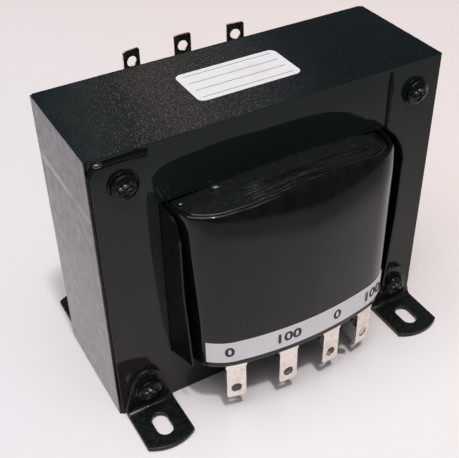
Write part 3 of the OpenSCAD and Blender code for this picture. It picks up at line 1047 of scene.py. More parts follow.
@dataclass
class LaminationStack:
    """The core: many thin E sheets with I sheets across their ends, and one plate on each face.

    Attributes:
        sheet_t: Thickness of one lamination.
        uneven: How far one lamination may stand off its neighbours.
        burr: Width of the broken edge of each lamination.
        plate_burr: Width of the varnished edge of the outer plates.
        hole_d: Diameter of the bolt holes.
        hole_sides: Sides of each hole.
        square: Radians that an edge turns by, at least, to be an outer edge of a sheet.
    """

    sheet_t: float = 0.64
    uneven: float = 0.012
    burr: float = 0.025
    plate_burr: float = 0.18
    hole_d: float = 5.6
    hole_sides: int = 20
    square: float = 1.5

    def __post_init__(self) -> None:
        """Reads the core's outline from the frame."""
        low, high = node_box_mm("e_laminations")
        self.half_w, self.e_h = high.x, high.z
        self.front_y, self.rear_y = low.y, high.y
        self.top = node_box_mm("i_laminations")[1].z
        foot = node_box_mm("foot_front_left")
        self.bolt_x = -(foot[0].x + foot[1].x) / 2
        washers = node_box_mm("front_washers")
        washer_r = washers[1].x - self.bolt_x
        self.bolt_z = (washers[0].z + washer_r, washers[1].z - washer_r)
        self.window = (self.half_w / 3, self.half_w * 2 / 3)
        self.yoke_h = self.window[1] - self.window[0]

    def outline(self, mesh: Mesh, corners: Sequence[Pair], hole_z: float) -> None:
        """Draws one lamination's outline and holes at y = 0, and fills it.

        Args:
            mesh: The mesh that gets it.
            corners: The outline's corners as x and z.
            hole_z: Height of its two bolt holes.
        """
        ring = [mesh.verts.new((x * MM, 0, z * MM)) for x, z in corners]
        for first, second in zip(ring, ring[1:] + ring[:1]):
            mesh.edges.new((first, second))
        for side in (-1, 1):
            place = Matrix.Translation((side * self.bolt_x * MM, 0, hole_z * MM))
            place = place @ Matrix.Rotation(TAU / 4, 4, "X")
            bmesh.ops.create_circle(
                mesh, cap_ends=False, radius=self.hole_d / 2 * MM, segments=self.hole_sides, matrix=place
            )
        bmesh.ops.triangle_fill(
            mesh, use_beauty=True, use_dissolve=False, edges=mesh.edges[:], normal=(0, -1, 0)
        )  # fmt: skip

    def e_corners(self, inset: float, skin: float) -> list[tuple[float, float]]:
        """Corners of an E sheet.

        Args:
            inset: How far its two sides are set in.
            skin: How far every outer edge is set in, as room for uneven stacking.

        Returns:
            The corners, round the outline.
        """
        wide, bottom, top = self.half_w - inset - skin, skin, self.e_h
        near, far = self.window
        return [
            (-wide, bottom), (wide, bottom), (wide, top), (far, top), (far, self.yoke_h), (near, self.yoke_h),
            (near, top), (-near, top), (-near, self.yoke_h), (-far, self.yoke_h), (-far, top), (-wide, top),
        ]  # fmt: skip

    def i_corners(self, inset: float, skin: float) -> list[tuple[float, float]]:
        """Corners of an I sheet.

        Args:
            inset: How far its two ends are set in.
            skin: How far every outer edge is set in.

        Returns:
            The corners, round the outline.
        """
        wide = self.half_w - inset - skin
        return [(-wide, self.e_h), (wide, self.e_h), (wide, self.top - skin), (-wide, self.top - skin)]

    def sheet(self, corners: Sequence[Pair], hole_z: float, thick: float, burr: float) -> Mesh:
        """One lamination with broken edges, its front at y = 0.

        Args:
            corners: Its corners as x and z.
            hole_z: Height of its bolt holes.
            thick: Its thickness.
            burr: Width of its broken edges.

        Returns:
            The sheet.
        """
        mesh = bmesh.new()
        self.outline(mesh, corners, hole_z)
        grown = bmesh.ops.extrude_face_region(mesh, geom=mesh.faces[:])
        bmesh.ops.translate(mesh, verts=verts_of(grown["geom"]), vec=(0, thick * MM, 0))
        bmesh.ops.recalc_face_normals(mesh, faces=mesh.faces[:])
        rims = [e for e in mesh.edges if len(e.link_faces) == 2 and e.calc_face_angle(0.0) > self.square
                and abs(e.verts[0].co.y - e.verts[1].co.y) < WELD_M / 10]  # fmt: skip
        if burr >= self.plate_burr:
            joint = self.e_h * MM
            rims = [e for e in rims if any(abs(v.co.z - joint) > WELD_M for v in e.verts)]
        bevel(mesh, rims, burr, 1)
        return mesh

    def stack(self, name: str, corners: Sequence[Pair], hole_z: float, seed: int) -> None:
        """Stacks sheets between the two plates, each a little out of line.

        Args:
            name: The CAD node that they stand for.
            corners: Corners of one sheet.
            hole_z: Height of the bolt holes.
            seed: Seed of the unevenness.
        """
        chance = random.Random(seed)
        count = round((self.rear_y - self.front_y) / self.sheet_t)
        pitch = (self.rear_y - self.front_y) / count
        mesh = self.sheet(corners, hole_z, pitch, self.burr)
        first = whole(mesh)
        for row in range(1, count):
            made = bmesh.ops.duplicate(mesh, geom=first)["geom"]
            off = (chance.uniform(-1, 1) * self.uneven, row * pitch, chance.uniform(-1, 1) * self.uneven)
            bmesh.ops.translate(mesh, verts=verts_of(made), vec=Vector(off) * MM)
        bmesh.ops.translate(mesh, verts=mesh.verts[:], vec=(0, self.front_y * MM, 0))
        piece = finish_piece(name + "_sheets", mesh, Finish.STACK, [name])
        piece.data.materials.append(Finish.STACK_TOP.material())
        for face in piece.data.polygons:
            face.material_index = int(face.normal.z > 0.5)

    def plate(self, name: str, corners: Sequence[Pair], hole_z: float) -> None:
        """One outer lamination under thick varnish.

        Args:
            name: The CAD node that it stands for.
            corners: Its corners.
            hole_z: Height of its bolt holes.
        """
        low, high = node_box_mm(name)
        mesh = self.sheet(corners, hole_z, high.y - low.y, self.plate_burr)
        bmesh.ops.translate(mesh, verts=mesh.verts[:], vec=(0, low.y * MM, 0))
        finish_piece(name + "_plate", mesh, Finish.PLATE, [name], flat_area=0.0)

    def build(self) -> None:
        """Builds the stack and its four plates."""
        inset = self.half_w - node_box_mm("front_e_lamination")[1].x
        low_z, high_z = self.bolt_z
        self.stack("e_laminations", self.e_corners(0, self.uneven), low_z, 5)
        self.stack("i_laminations", self.i_corners(0, self.uneven), high_z, 8)
        for face in ("front", "rear"):
            self.plate(face + "_e_lamination", self.e_corners(inset, 0), low_z)
            self.plate(face + "_i_lamination", self.i_corners(inset, 0), high_z)


# ---------------------------------------------------------------- coil


@dataclass
class CoilPlan:
    """Plan of the coil's turns. A turn is named by its build, the winding's thickness beside the tongue.

    Each quarter of a turn is a crowned face, a rounder cheek, a tight corner and a side that leans out to
    the window. All but the first are shares of the build.

    Attributes:
        crown: Swelling at the front and back, as a share of the build.
        cheek: Radius of a cheek, as a share of the build.
        cheek_set: Distance of its centre from the tongue, as a share of the build.
        cheek_turn: Degrees that a cheek has turned to where the corner begins.
        corner: Radius of a corner, as a share of the build.
        steps: Steps along half of a crowned face, a cheek, a corner, a side and half of the window.
        rise_run: Distance from the core over which the upper edge rises.
        rise_z: Depth below the upper edge from which its rise grows, and the height over which it does.
        lean_run: Distance from the core over which the front's bend grows.
        fold: Radius of the front's bend, below the upper edge.
        fold_h: Height of that bend at the ends of the front, and how much higher it is in the middle.
        fold_most: Sine of the most that the front leans back.
        crest: How far the upper edge rises in the middle of the front.
        middle: Middle of that rise, and half of its width.
        skew: How far the front's upper left edge is pushed to the left.
        skew_run: Heights between which that grows.
        skew_out: Distance from the core over which it grows.
        skew_x: Place across the coil from which it grows to the left, and the width over which it does.
    """

    crown: float = 1.09
    cheek: float = 0.963
    cheek_set: float = 0.077
    cheek_turn: float = 45.0
    corner: float = 0.11
    steps: tuple[int, int, int, int, int] = (9, 8, 4, 4, 2)
    rise_run: float = 8.0
    rise_z: Pair = (14.0, 11.0)
    lean_run: float = 14.0
    fold: float = 30.0
    fold_h: Pair = (8.0, 7.0)
    fold_most: float = 0.6
    crest: float = 0.8
    middle: Pair = (4.0, 34.0)
    skew: float = 2.2
    skew_run: Pair = (26.0, 78.0)
    skew_out: float = 6.0
    skew_x: Pair = (5.0, 35.0)

    def __post_init__(self) -> None:
        """Reads the coil's place from the frame."""
        high = node_box_mm("coil_wrap")[1]
        self.bottom, self.top = (corner.z for corner in node_box_mm("coil_former"))
        self.half_tongue = node_box_mm("e_laminations")[1].x / 3
        self.half_stack = node_box_mm("rear_e_lamination")[1].y
        self.out = high.x - self.half_tongue
        self.rim_rise = high.z - self.top

    def face(self, build: float) -> tuple[float, float, float]:
        """The arc of a crowned face.

        Args:
            build: The turn's build.

        Returns:
            Its radius, the place of its centre towards the front, and the angle it has turned at a cheek.
        """
        rise, cheek, across = self.crown * build, self.cheek * build, self.cheek_x(build)
        radius = (rise**2 + across**2 - cheek**2) / (2 * (rise - cheek))
        centre = self.half_stack + rise - radius
        return radius, centre, math.atan2(across, self.half_stack - centre)

    def cheek_x(self, build: float) -> float:
        """Distance of a cheek's centre from the middle."""
        return self.half_tongue + self.cheek_set * build

    def front(self, x: float, build: float) -> tuple[float, float]:
        """The front of a turn.

        Args:
            x: The place across the coil.
            build: The turn's build.

        Returns:
            Its y, and the angle that it faces, from straight ahead towards +X.
        """
        radius, centre, turn = self.face(build)
        if abs(x) < radius * math.sin(turn):
            angle = math.asin(x / radius)
            return -(centre + radius * math.cos(angle)), angle
        cheek = self.cheek * build
        angle = math.asin((abs(x) - self.cheek_x(build)) / cheek)
        return -(self.half_stack + cheek * math.cos(angle)), math.copysign(angle, x)

    def settle(self, vert: bmesh.types.BMVert) -> None:
        """Lifts the coil's upper edge outside the windows, and bends its front back and to the left.

        Args:
            vert: A vertex of an upright turn, which is moved.
        """
        x, y, z = vert.co / MM
        beyond = abs(y) - self.half_stack
        if beyond <= 0:
            return
        below, over = self.rise_z
        share = smooth((z - self.top + below) / over)
        vert.co.z += self.rim_rise * smooth(beyond / self.rise_run) * share * MM
        if y < 0:
            away = smooth(beyond / self.lean_run)
            bump = smooth(1 - abs(x - self.middle[0]) / self.middle[1]) * away
            turn = (z - self.top + self.fold_h[0] + self.fold_h[1] * bump) / self.fold
            turn = min(max(turn, 0.0), self.fold_most)
            vert.co.y += self.fold * (1 - math.sqrt(1 - turn * turn)) * away * MM
            vert.co.z += self.crest * bump * share * MM
            (low, high), (start, wide) = self.skew_run, self.skew_x
            aside = smooth((z - low) / (high - low)) * smooth((start - x) / wide)
            vert.co.x -= self.skew * aside * smooth(beyond / self.skew_out) * MM

    def spun(self, mesh: Mesh, geom: list, centre: Pair, turn: float, steps: int) -> list:
        """Spins geometry on round an upright axis.

        Args:
            mesh: The mesh.
            geom: What is spun on.
            centre: The axis, as x and y.
            turn: The angle in radians.
            steps: The number of steps.

        Returns:
            The last copy.
        """
        place = (centre[0] * MM, centre[1] * MM, 0)
        made = bmesh.ops.spin(
            mesh, geom=geom, cent=place, axis=(0, 0, 1), angle=turn, steps=steps, use_duplicate=False
        )  # fmt: skip
        return made["geom_last"]

    def ring(self, mesh: Mesh, build: float, height: float) -> tuple[list, list]:
        """Draws one whole turn: a quarter by spinning and extruding one vertex, and the rest by mirroring.

        Args:
            mesh: The mesh that gets it.
            build: The turn's build.
            height: Its height.

        Returns:
            Its vertices and its edges.
        """
        old_verts, old_edges = set(mesh.verts), set(mesh.edges)
        radius, centre, turn = self.face(build)
        cheek, corner, wide = self.cheek * build, self.corner * build, math.radians(self.cheek_turn)
        across, depth = self.cheek_x(build), self.half_stack
        inner = (across + (cheek - corner) * math.sin(wide), depth + (cheek - corner) * math.cos(wide))
        mouth = (self.half_tongue + build, depth)
        run = (mouth[0] - inner[0], mouth[1] - inner[1])
        lean = math.atan2(run[0], run[1]) - math.acos(corner / math.hypot(*run))
        tip: list = [mesh.verts.new((0, -(centre + radius) * MM, height * MM))]
        tip = self.spun(mesh, tip, (0, -centre), turn, self.steps[0])
        tip = self.spun(mesh, tip, (across, -depth), wide - turn, self.steps[1])
        tip = self.spun(mesh, tip, (inner[0], -inner[1]), lean - wide, self.steps[2])
        for end, steps in (((mouth[0], -mouth[1]), self.steps[3]), ((mouth[0], 0.0), self.steps[4])):
            dot = verts_of(tip)[0]
            step = (Vector((*end, height)) * MM - dot.co) / steps
            for _ in range(steps):
                dot = bmesh.ops.extrude_vert_indiv(mesh, verts=[dot])["verts"][0]
                dot.co += step
            tip = [dot]
        for axis in ("X", "Y"):
            part: list = [v for v in mesh.verts if v not in old_verts]
            part += [e for e in mesh.edges if e not in old_edges]
            bmesh.ops.mirror(mesh, geom=part, matrix=Matrix.Identity(4), merge_dist=WELD_M, axis=axis)
        verts = [v for v in mesh.verts if v not in old_verts]
        for vert in verts:
            self.settle(vert)
        return verts, [e for e in mesh.edges if e not in old_edges]

    def shell(
        self, rows: Sequence[Pair], form: Callable[[int, Vector], Vector] = lambda row, at: Vector()
    ) -> Mesh:
        """A closed wall swept round the coil.

        Args:
            rows: Its section, a loop of builds and heights.
            form: Gives how far a place on a row is moved, in millimetres.

        Returns:
            The wall.
        """
        mesh = bmesh.new()
        loops = []
        for row, (build, height) in enumerate(rows):
            verts, edges = self.ring(mesh, build, height)
            for vert in verts:
                vert.co += form(row, vert.co / MM) * MM
            loops.append(edges)
        for first, second in zip(loops, loops[1:] + loops[:1]):
            bmesh.ops.bridge_loops(mesh, edges=first + second)
        return mesh


def stray(at: Vector, phase: float, side: float, lift: float) -> Vector:
    """A slow wander of a hand-wound layer.

    Args:
        at: The place in millimetres.
        phase: Where in the noise the layer reads.
        side: How far it wanders sideways.
        lift: How far it wanders up and down.

    Returns:
        The move in millimetres.
    """
    flat = Vector((at.x, at.y, 0))
    roll = noise.noise(flat * 0.11 + Vector((0, 0, phase)))
    bob = noise.noise(flat * 0.16 + Vector((40, 0, phase))) + 0.5 * noise.noise(flat * 0.6)
    return flat.normalized() * roll * side + Vector((0, 0, bob * lift))


@dataclass
class Coil:
    """The coil: a folded wrap, and windings whose layered ends are soaked in varnish.

    Attributes:
        plan: The plan of its turns.
        wall: Thickness of the wrap.
        wall_steps: Steps up it.
        rim: Radius of the wrap's upper edge.
        rim_deep: How far its inner side reaches down.
        hem: Radius of its lower edge.
        wall_stray: How far the wrap strays sideways, and up and down.
        rim_stray: The same at its upper edge.
        gap: Space between the soaked ends and the tongue, and between the last ridge and the wrap.
        ridges: Builds at which the edge of a layer stands up.
        ridge_half: Half the width of a ridge.
        ridge_share: Height of a ridge, as a share of the valleys' depth.
        sink: Depth of the valleys between the ridges.
        root: How far the soaked ends reach into the coil.
        wander: How far a ridge strays sideways.
        heave: How far it strays up and down.
        calm: How much of that is left where the varnish lies thick, on the left.
        calm_x: Where the layers start to be rough, and the width over which they get so.
        tubes: The boards inside the coil, each with its inner and outer build.
        tube_set: How far they stop short of the valleys.
    """

    plan: CoilPlan
    wall: float = 1.6
    wall_steps: int = 26
    rim: float = 0.8
    rim_deep: float = 2.4
    hem: float = 0.8
    wall_stray: Pair = (0.1, 0.0)
    rim_stray: Pair = (0.22, 0.3)
    gap: float = 0.3
    ridges: tuple[float, ...] = (1.4, 2.9, 4.6, 6.1, 7.9, 9.3, 10.8, 12.2, 13.5, 14.7)
    ridge_half: float = 0.3
    ridge_share: float = 0.7
    sink: float = 0.75
    root: float = 4.0
    wander: float = 0.5
    heave: float = 0.32
    calm: float = 0.12
    calm_x: Pair = (-20.0, 16.0)
    tubes: tuple[tuple[str, float, float], ...] = (("coil_former", 0.3, 2.0), ("winding_barrier", 8.55, 9.8))
    tube_set: float = 0.4

    def wrap(self) -> None:
        """The outer wrap, with a small hem below and a rounded edge above."""
        plan = self.plan
        out, low, high = plan.out, plan.bottom, plan.top
        rows = [(out - self.wall, low)]
        rows += [(out - self.hem + self.hem * math.sin(a), low + self.hem - self.hem * math.cos(a))
                 for a in (TAU / 16 * step for step in range(5))]  # fmt: skip
        tall, count = high - self.rim - low - self.hem, self.wall_steps
        rows += [(out, low + self.hem + tall * step / count) for step in range(1, count)]
        rows += [(out - self.rim + self.rim * math.cos(a), high - self.rim + self.rim * math.sin(a))
                 for a in (TAU / 24 * step for step in range(11))]  # fmt: skip
        rows += [(out - self.wall, high - self.rim_deep)]
        edge = range(5 + count, len(rows))
        mesh = plan.shell(
            rows, lambda row, at: stray(at, row * 0.04, *(self.rim_stray if row in edge else self.wall_stray))
        )
        finish_piece("wound_wrap", mesh, Finish.WRAP, ["coil_wrap"], flat_area=40)

    def end(self, name: str, top: bool, nodes: Sequence[str]) -> None:
        """One soaked end of the winding, with the edges of its layers standing up in ridges.

        Args:
            name: The piece's name.
            top: Whether it is the upper end.
            nodes: CAD nodes that it stands for.
        """
        plan = self.plan
        level, down = (plan.top, -1) if top else (plan.bottom, 1)
        valley = level + down * self.sink
        rows = [(self.gap, level + down * self.root), (self.gap, valley)]
        crests = set()
        for here, after in zip(self.ridges, self.ridges[1:] + (plan.out - self.wall - self.gap,)):
            crests.add(len(rows) + 1)
            rows += [(here - self.ridge_half, valley), (here, valley),
                     (here + self.ridge_half, valley), ((here + after) / 2, valley)]  # fmt: skip
        rows += [(plan.out - self.wall - 0.1, level + down * 1.6), (plan.out - self.wall, level + down * 4.2)]
        steady = (0, 1, len(rows) - 2, len(rows) - 1)

        def form(row: int, at: Vector) -> Vector:
            """Raises the crests and lets the layers wander, less so on the left.

            Args:
                row: The row's number.
                at: The place in millimetres.

            Returns:
                The move in millimetres.
            """
            if row in steady:
                return Vector()
            start, wide = self.calm_x
            rough = self.calm + (1 - self.calm) * smooth((at.x - start) / wide)
            crest = -down * self.sink * self.ridge_share * rough if row in crests else 0.0
            return stray(at, row * 0.6, self.wander * rough, self.heave * rough) + Vector((0, 0, crest))

        mesh = plan.shell(rows, form)
        finish_piece(name, mesh, Finish.COIL_END, nodes, flat_area=40)

    def tube(self, node: str, inner: float, outer: float) -> None:
        """A plain tube of board inside the coil.

        Args:
            node: The CAD node that it stands for.
            inner: Its inner build.
            outer: Its outer build.
        """
        below = self.sink + self.tube_set
        low, high = self.plan.bottom + below, self.plan.top - below
        mesh = self.plan.shell([(inner, low), (outer, low), (outer, high), (inner, high)])
        finish_piece(node + "_tube", mesh, Finish.BOARD, [node], flat_area=40)

    def build(self) -> None:
        """Builds the coil."""
        self.wrap()
        self.end("soaked_end_top", True, ["inner_layer_papers"])
        self.end("soaked_end_bottom", False, ["outer_layer_papers"])
        for node, inner, outer in self.tubes:
            self.tube(node, inner, outer)
        for name in ("inner_winding", "outer_winding"):
            dress_node(name, Finish.WIRE)


@dataclass
class WindowLiners:
    """Two thin boards that line the windows beside the coil and stand out past the core.

    Attributes:
        plan: The plan of the coil.
        steps: Steps along a board and up it.
        corner: Radius of its upper corners.
        tuck: How far its free ends lean in to the coil.
        pinch: How much further they do so at the foot.
        pinch_h: Height over which that fades.
    """

    plan: CoilPlan
    steps: tuple[int, int] = (44, 16)
    corner: float = 6.0
    tuck: float = 0.5
    pinch: float = 1.6
    pinch_h: float = 30.0

    def board(self, side: str) -> None:
        """One board: a grid bent to its shape, then given its thickness.

        Args:
            side: The side of the core that it stands on.
        """
        low, high = node_box_mm(f"window_liner_{side}")
        way = 1 if low.x > 0 else -1
        deep, tall, thick = high.y, high.z - low.z, high.x - low.x
        mesh = bmesh.new()
        bmesh.ops.create_grid(mesh, x_segments=self.steps[0], y_segments=self.steps[1], size=1.0)
        for vert in mesh.verts:
            y, share = vert.co.x * deep, (vert.co.y + 1) / 2
            past_corner = max(abs(y) - deep + self.corner, 0.0)
            height = tall - self.corner + math.sqrt(max(self.corner**2 - past_corner**2, 0.0))
            z = low.z + height * share
            beyond = smooth((abs(y) - self.plan.half_stack) / (deep - self.plan.half_stack))
            lean = self.tuck + self.pinch * max(1 - (z - low.z) / self.pinch_h, 0.0)
            x = way * (high.x * way if way > 0 else -low.x) - way * (thick / 2 + lean * beyond)
            vert.co = Vector((x, y, z)) * MM
        bmesh.ops.translate(mesh, verts=mesh.verts[:], vec=(way * thick / 2 * MM, 0, 0))
        thicken(mesh, Vector((way, 0, 0)), thick)
        name = f"window_liner_{side}"
        finish_piece(name + "_board", mesh, Finish.LINER, [name], flat_area=0.0)

    def build(self) -> None:
        """Builds both boards."""
        for side in ("left", "right"):
            self.board(side)


@dataclass
class NumberStrip:
    """A white strip with plain terminal numbers, stuck round the front of the coil.

    Attributes:
        plan: The plan of the coil.
        turn: Degrees of the cheeks that it runs to.
        thick: Its thickness.
        digit_h: Height of the numbers.
        numbers: Plain numbers, one for each front tag.
        nudge: How far each one stands to the right of its tag.
        stretch: How much wider than usual a number is.
        ink: How far its face stands off the strip.
    """

    plan: CoilPlan
    turn: float = 44.0
    thick: float = 0.13
    digit_h: float = 3.5
    numbers: tuple[str, ...] = ("0", "100", "0", "100")
    nudge: tuple[float, ...] = (-2.3, -0.9, 1.0, 2.2)
    stretch: float = 1.2
    ink: float = 0.03

    def strip(self) -> None:
        """The strip itself, swept along the wrap and given its thickness."""
        plan, low, high = self.plan, *(corner.z for corner in node_box_mm("number_strip"))
        radius, centre, turn = plan.face(plan.out + self.thick)
        mesh = bmesh.new()
        ends = [mesh.verts.new((0, -(centre + radius) * MM, z * MM)) for z in (low, high)]
        tip = [*ends, mesh.edges.new(ends)]
        tip = plan.spun(mesh, tip, (0, -centre), turn, 14)
        plan.spun(mesh, tip, (plan.cheek_x(plan.out), -plan.half_stack), math.radians(self.turn) - turn, 12)
        bmesh.ops.mirror(mesh, geom=whole(mesh), matrix=Matrix.Identity(4), merge_dist=WELD_M, axis="X")
        thicken(mesh, Vector((0, -1, 0)), self.thick)
        finish_piece("printed_strip", mesh, Finish.LABEL, ["number_strip"], flat_area=0)

    def digits(self, places: Sequence[float], height: float) -> None:
        """Plain numbers, one over each front tag.

        Args:
            places: Their places across the coil.
            height: Height of their middle.
        """
        for number, (tag_x, nudge, text) in enumerate(zip(places, self.nudge, self.numbers), start=1):
            x = tag_x + nudge
            y, facing = self.plan.front(x, self.plan.out + self.thick + self.ink)
            stand = Matrix.Rotation(facing, 4, "Z") @ Matrix.Rotation(TAU / 4, 4, "X")
            stretch = Matrix.Diagonal((self.stretch, 1, 1, 1))
            place = Matrix.Translation(Vector((x, y, height)) * MM) @ stand @ stretch
            mesh = letters(text, self.digit_h, place)
            finish_piece(f"strip_number_{number}", mesh, Finish.INK, flat_area=40)

    def build(self, places: Sequence[float]) -> None:
        """Builds the strip and its numbers.

        Args:
            places: Places of the numbers across the coil.
        """
        self.strip()
        low, high = node_box_mm("number_strip")
        self.digits(places, (low.z + high.z) / 2)


def letters(text: str, tall: float, place: Matrix) -> Mesh:
    """Flat printed characters.

    Args:
        text: The characters.
        tall: Their height in millimetres.
        place: Where they go.

    Returns:
        Their faces.
    """
    curve = bpy.data.curves.new("print", "FONT")
    curve.body = text
    curve.size = tall / 0.7 * MM
    curve.align_x = "CENTER"
    curve.align_y = "CENTER"
    curve.offset = 0.045 * tall * MM
    curve.resolution_u = 4
    return mesh_of_curve(curve, place)


def mesh_of_curve(curve: bpy.types.Curve, place: Matrix) -> Mesh:
    """Turns a curve into a mesh and drops the curve.

    Args:
        curve: The curve.
        place: Where it goes.

    Returns:
        The mesh.
    """
    holder = bpy.data.objects.new("holder", curve)
    data = bpy.data.meshes.new_from_object(holder)
    mesh = bmesh.new()
    mesh.from_mesh(data)
    bmesh.ops.transform(mesh, matrix=place, verts=mesh.verts[:])
    bpy.data.meshes.remove(data)
    bpy.data.objects.remove(holder)
    bpy.data.curves.remove(curve)
    return mesh


def rod(
    points: Sequence[Point], thick: float, swell: Sequence[float] = (), sides: int = 3, steps: int = 6
) -> Mesh:
    """A round rod that bends smoothly through points.

    Args:
        points: The points in millimetres.
        thick: Its diameter in millimetres.
        swell: Factors on the diameter at the points, where it changes.
        sides: Steps round a quarter of it.
        steps: Steps from point to point.

    Returns:
        The rod, with closed ends.
    """
    curve = bpy.data.curves.new("rod", "CURVE")
    curve.dimensions = "3D"
    spline = curve.splines.new("NURBS")
    spline.points.add(len(points) - 1)
    for knot, point, factor in zip(spline.points, points, swell or [1.0] * len(points)):
        knot.co = (*(Vector(point) * MM), 1)
        knot.radius = factor
    spline.order_u = 3
    spline.use_endpoint_u = True
    spline.resolution_u = steps
    curve.bevel_depth = thick / 2 * MM
    curve.bevel_resolution = sides
    curve.use_fill_caps = True
    return mesh_of_curve(curve, Matrix.Identity(4))


# ---------------------------------------------------------------- terminals and fasteners


@dataclass
class Terminals:
    """The tinned solder tags, each with its wire wrapped on the wings and a little solder.

    Attributes:
        plan: The plan of the coil.
        soften: Rounding of the tinned edges.
        wire: Thickness of the varnished wire.
        rise: The wire's way out: places across from the tag, behind it, and out past the coil's end.
        loop_start: Degrees at which its turns round the wings start.
        loop_step: Degrees from point to point of the turns.
        loop_points: Points of the turns.
        loop_half: Half of the turns' width and depth.
        loop_back: How far their middle is behind the tag.
        loop_out: How far out the first point is, and how much further each next one is.
        sleeve: Points along the short dark sleeve between the third and fourth front tags.
        sleeve_d: Its diameter.
    """

    plan: CoilPlan
    soften: float = 0.1
    wire: float = 1.1
    rise: tuple[Point, ...] = ((0.8, 3.4, -1.5), (0.9, 3.4, 0.6), (1.2, 3.1, 2.0))
    loop_start: float = 60.0
    loop_step: float = 48.0
    loop_points: int = 11
    loop_half: Pair = (3.2, 1.0)
    loop_back: float = 2.1
    loop_out: Pair = (3.4, 0.16)
    sleeve: tuple[Point, ...] = (
        (12.8, -33.5, 22.0), (13.8, -35.0, 17.6), (16.0, -35.8, 13.0), (18.9, -36.0, 7.5),
    )  # fmt: skip
    sleeve_d: float = 2.5

    def tag(self, name: str) -> float:
        """One tag.

        Args:
            name: Its CAD node.

        Returns:
            Its place across the coil.
        """
        low, high = node_box_mm(name)
        mesh = copy_of_node(name, self.soften)
        finish_piece(name + "_tinned", mesh, Finish.TAG, [name], flat_area=3, crease=70)
        return (low.x + high.x) / 2

    def lead(self, name: str, x: float, back: bool) -> None:
        """The wire that comes out of the coil behind a tag and is wrapped round its wings.

        Args:
            name: The piece's name.
            x: The tag's place across the coil.
            back: Whether it is a rear tag.
        """
        y, facing = self.plan.front(x, self.plan.out - 0.8)
        end, way = (self.plan.top, 1) if back else (self.plan.bottom, -1)
        side = -1 if back else 1
        (half_w, half_d), (start, climb) = self.loop_half, self.loop_out
        path = list(self.rise)
        for step in range(self.loop_points):
            angle = math.radians(self.loop_start + self.loop_step * step)
            behind = self.loop_back + half_d * math.sin(angle)
            path.append((half_w * math.cos(angle), behind, start + climb * step))
        level = Matrix.Rotation(facing, 3, "Z")
        points = []
        for across, behind, out in path:
            spot = level @ Vector((across, behind, 0)) + Vector((x, y, 0))
            points.append((spot.x, spot.y * side, end + way * out))
        finish_piece(name, rod(points, self.wire), Finish.BEAD)

    def build(self) -> list[float]:
        """Builds every tag and lead.

        Returns:
            Places of the front tags across the coil.
        """
        places = []
        for number in range(1, 5):
            places.append(self.tag(f"front_tag_{number}"))
            self.lead(f"front_lead_{number}", places[-1], False)
        for number in range(1, 4):
            self.lead(f"rear_lead_{number}", self.tag(f"rear_tag_{number}"), True)
        finish_piece("lead_sleeve", rod(self.sleeve, self.sleeve_d), Finish.LINER)
        return places


CORNERS = tuple(f"{height}_{side}" for height in ("low", "high") for side in ("left", "right"))


def revolve(
    mesh: Mesh, section: Sequence[Pair], axis: Vector, sides: int, closed: bool = False, turns: int = 1,
    pitch: float = 0.0,
) -> None:  # fmt: skip
    """Spins a section round an axis that runs from front to back.

    Args:
        mesh: The mesh that gets it.
        section: Its corners, as distances from the axis and y.
        axis: A point on the axis.
        sides: Steps round a turn.
        closed: Whether its last corner joins its first.
        turns: Number of turns.
        pitch: How far back each turn goes.
    """
    dots = [mesh.verts.new(Vector((axis.x + r, y, axis.z)) * MM) for r, y in section]
    edges = [mesh.edges.new(pair) for pair in zip(dots, dots[1:] + dots[:1] if closed else dots[1:])]
    bmesh.ops.spin(
        mesh, geom=dots + edges, cent=Vector((axis.x, 0, axis.z)) * MM, axis=(0, 1, 0), angle=TAU * turns,
        steps=sides * turns, dvec=(0, pitch / sides * MM, 0), use_merge=not pitch,
    )  # fmt: skip


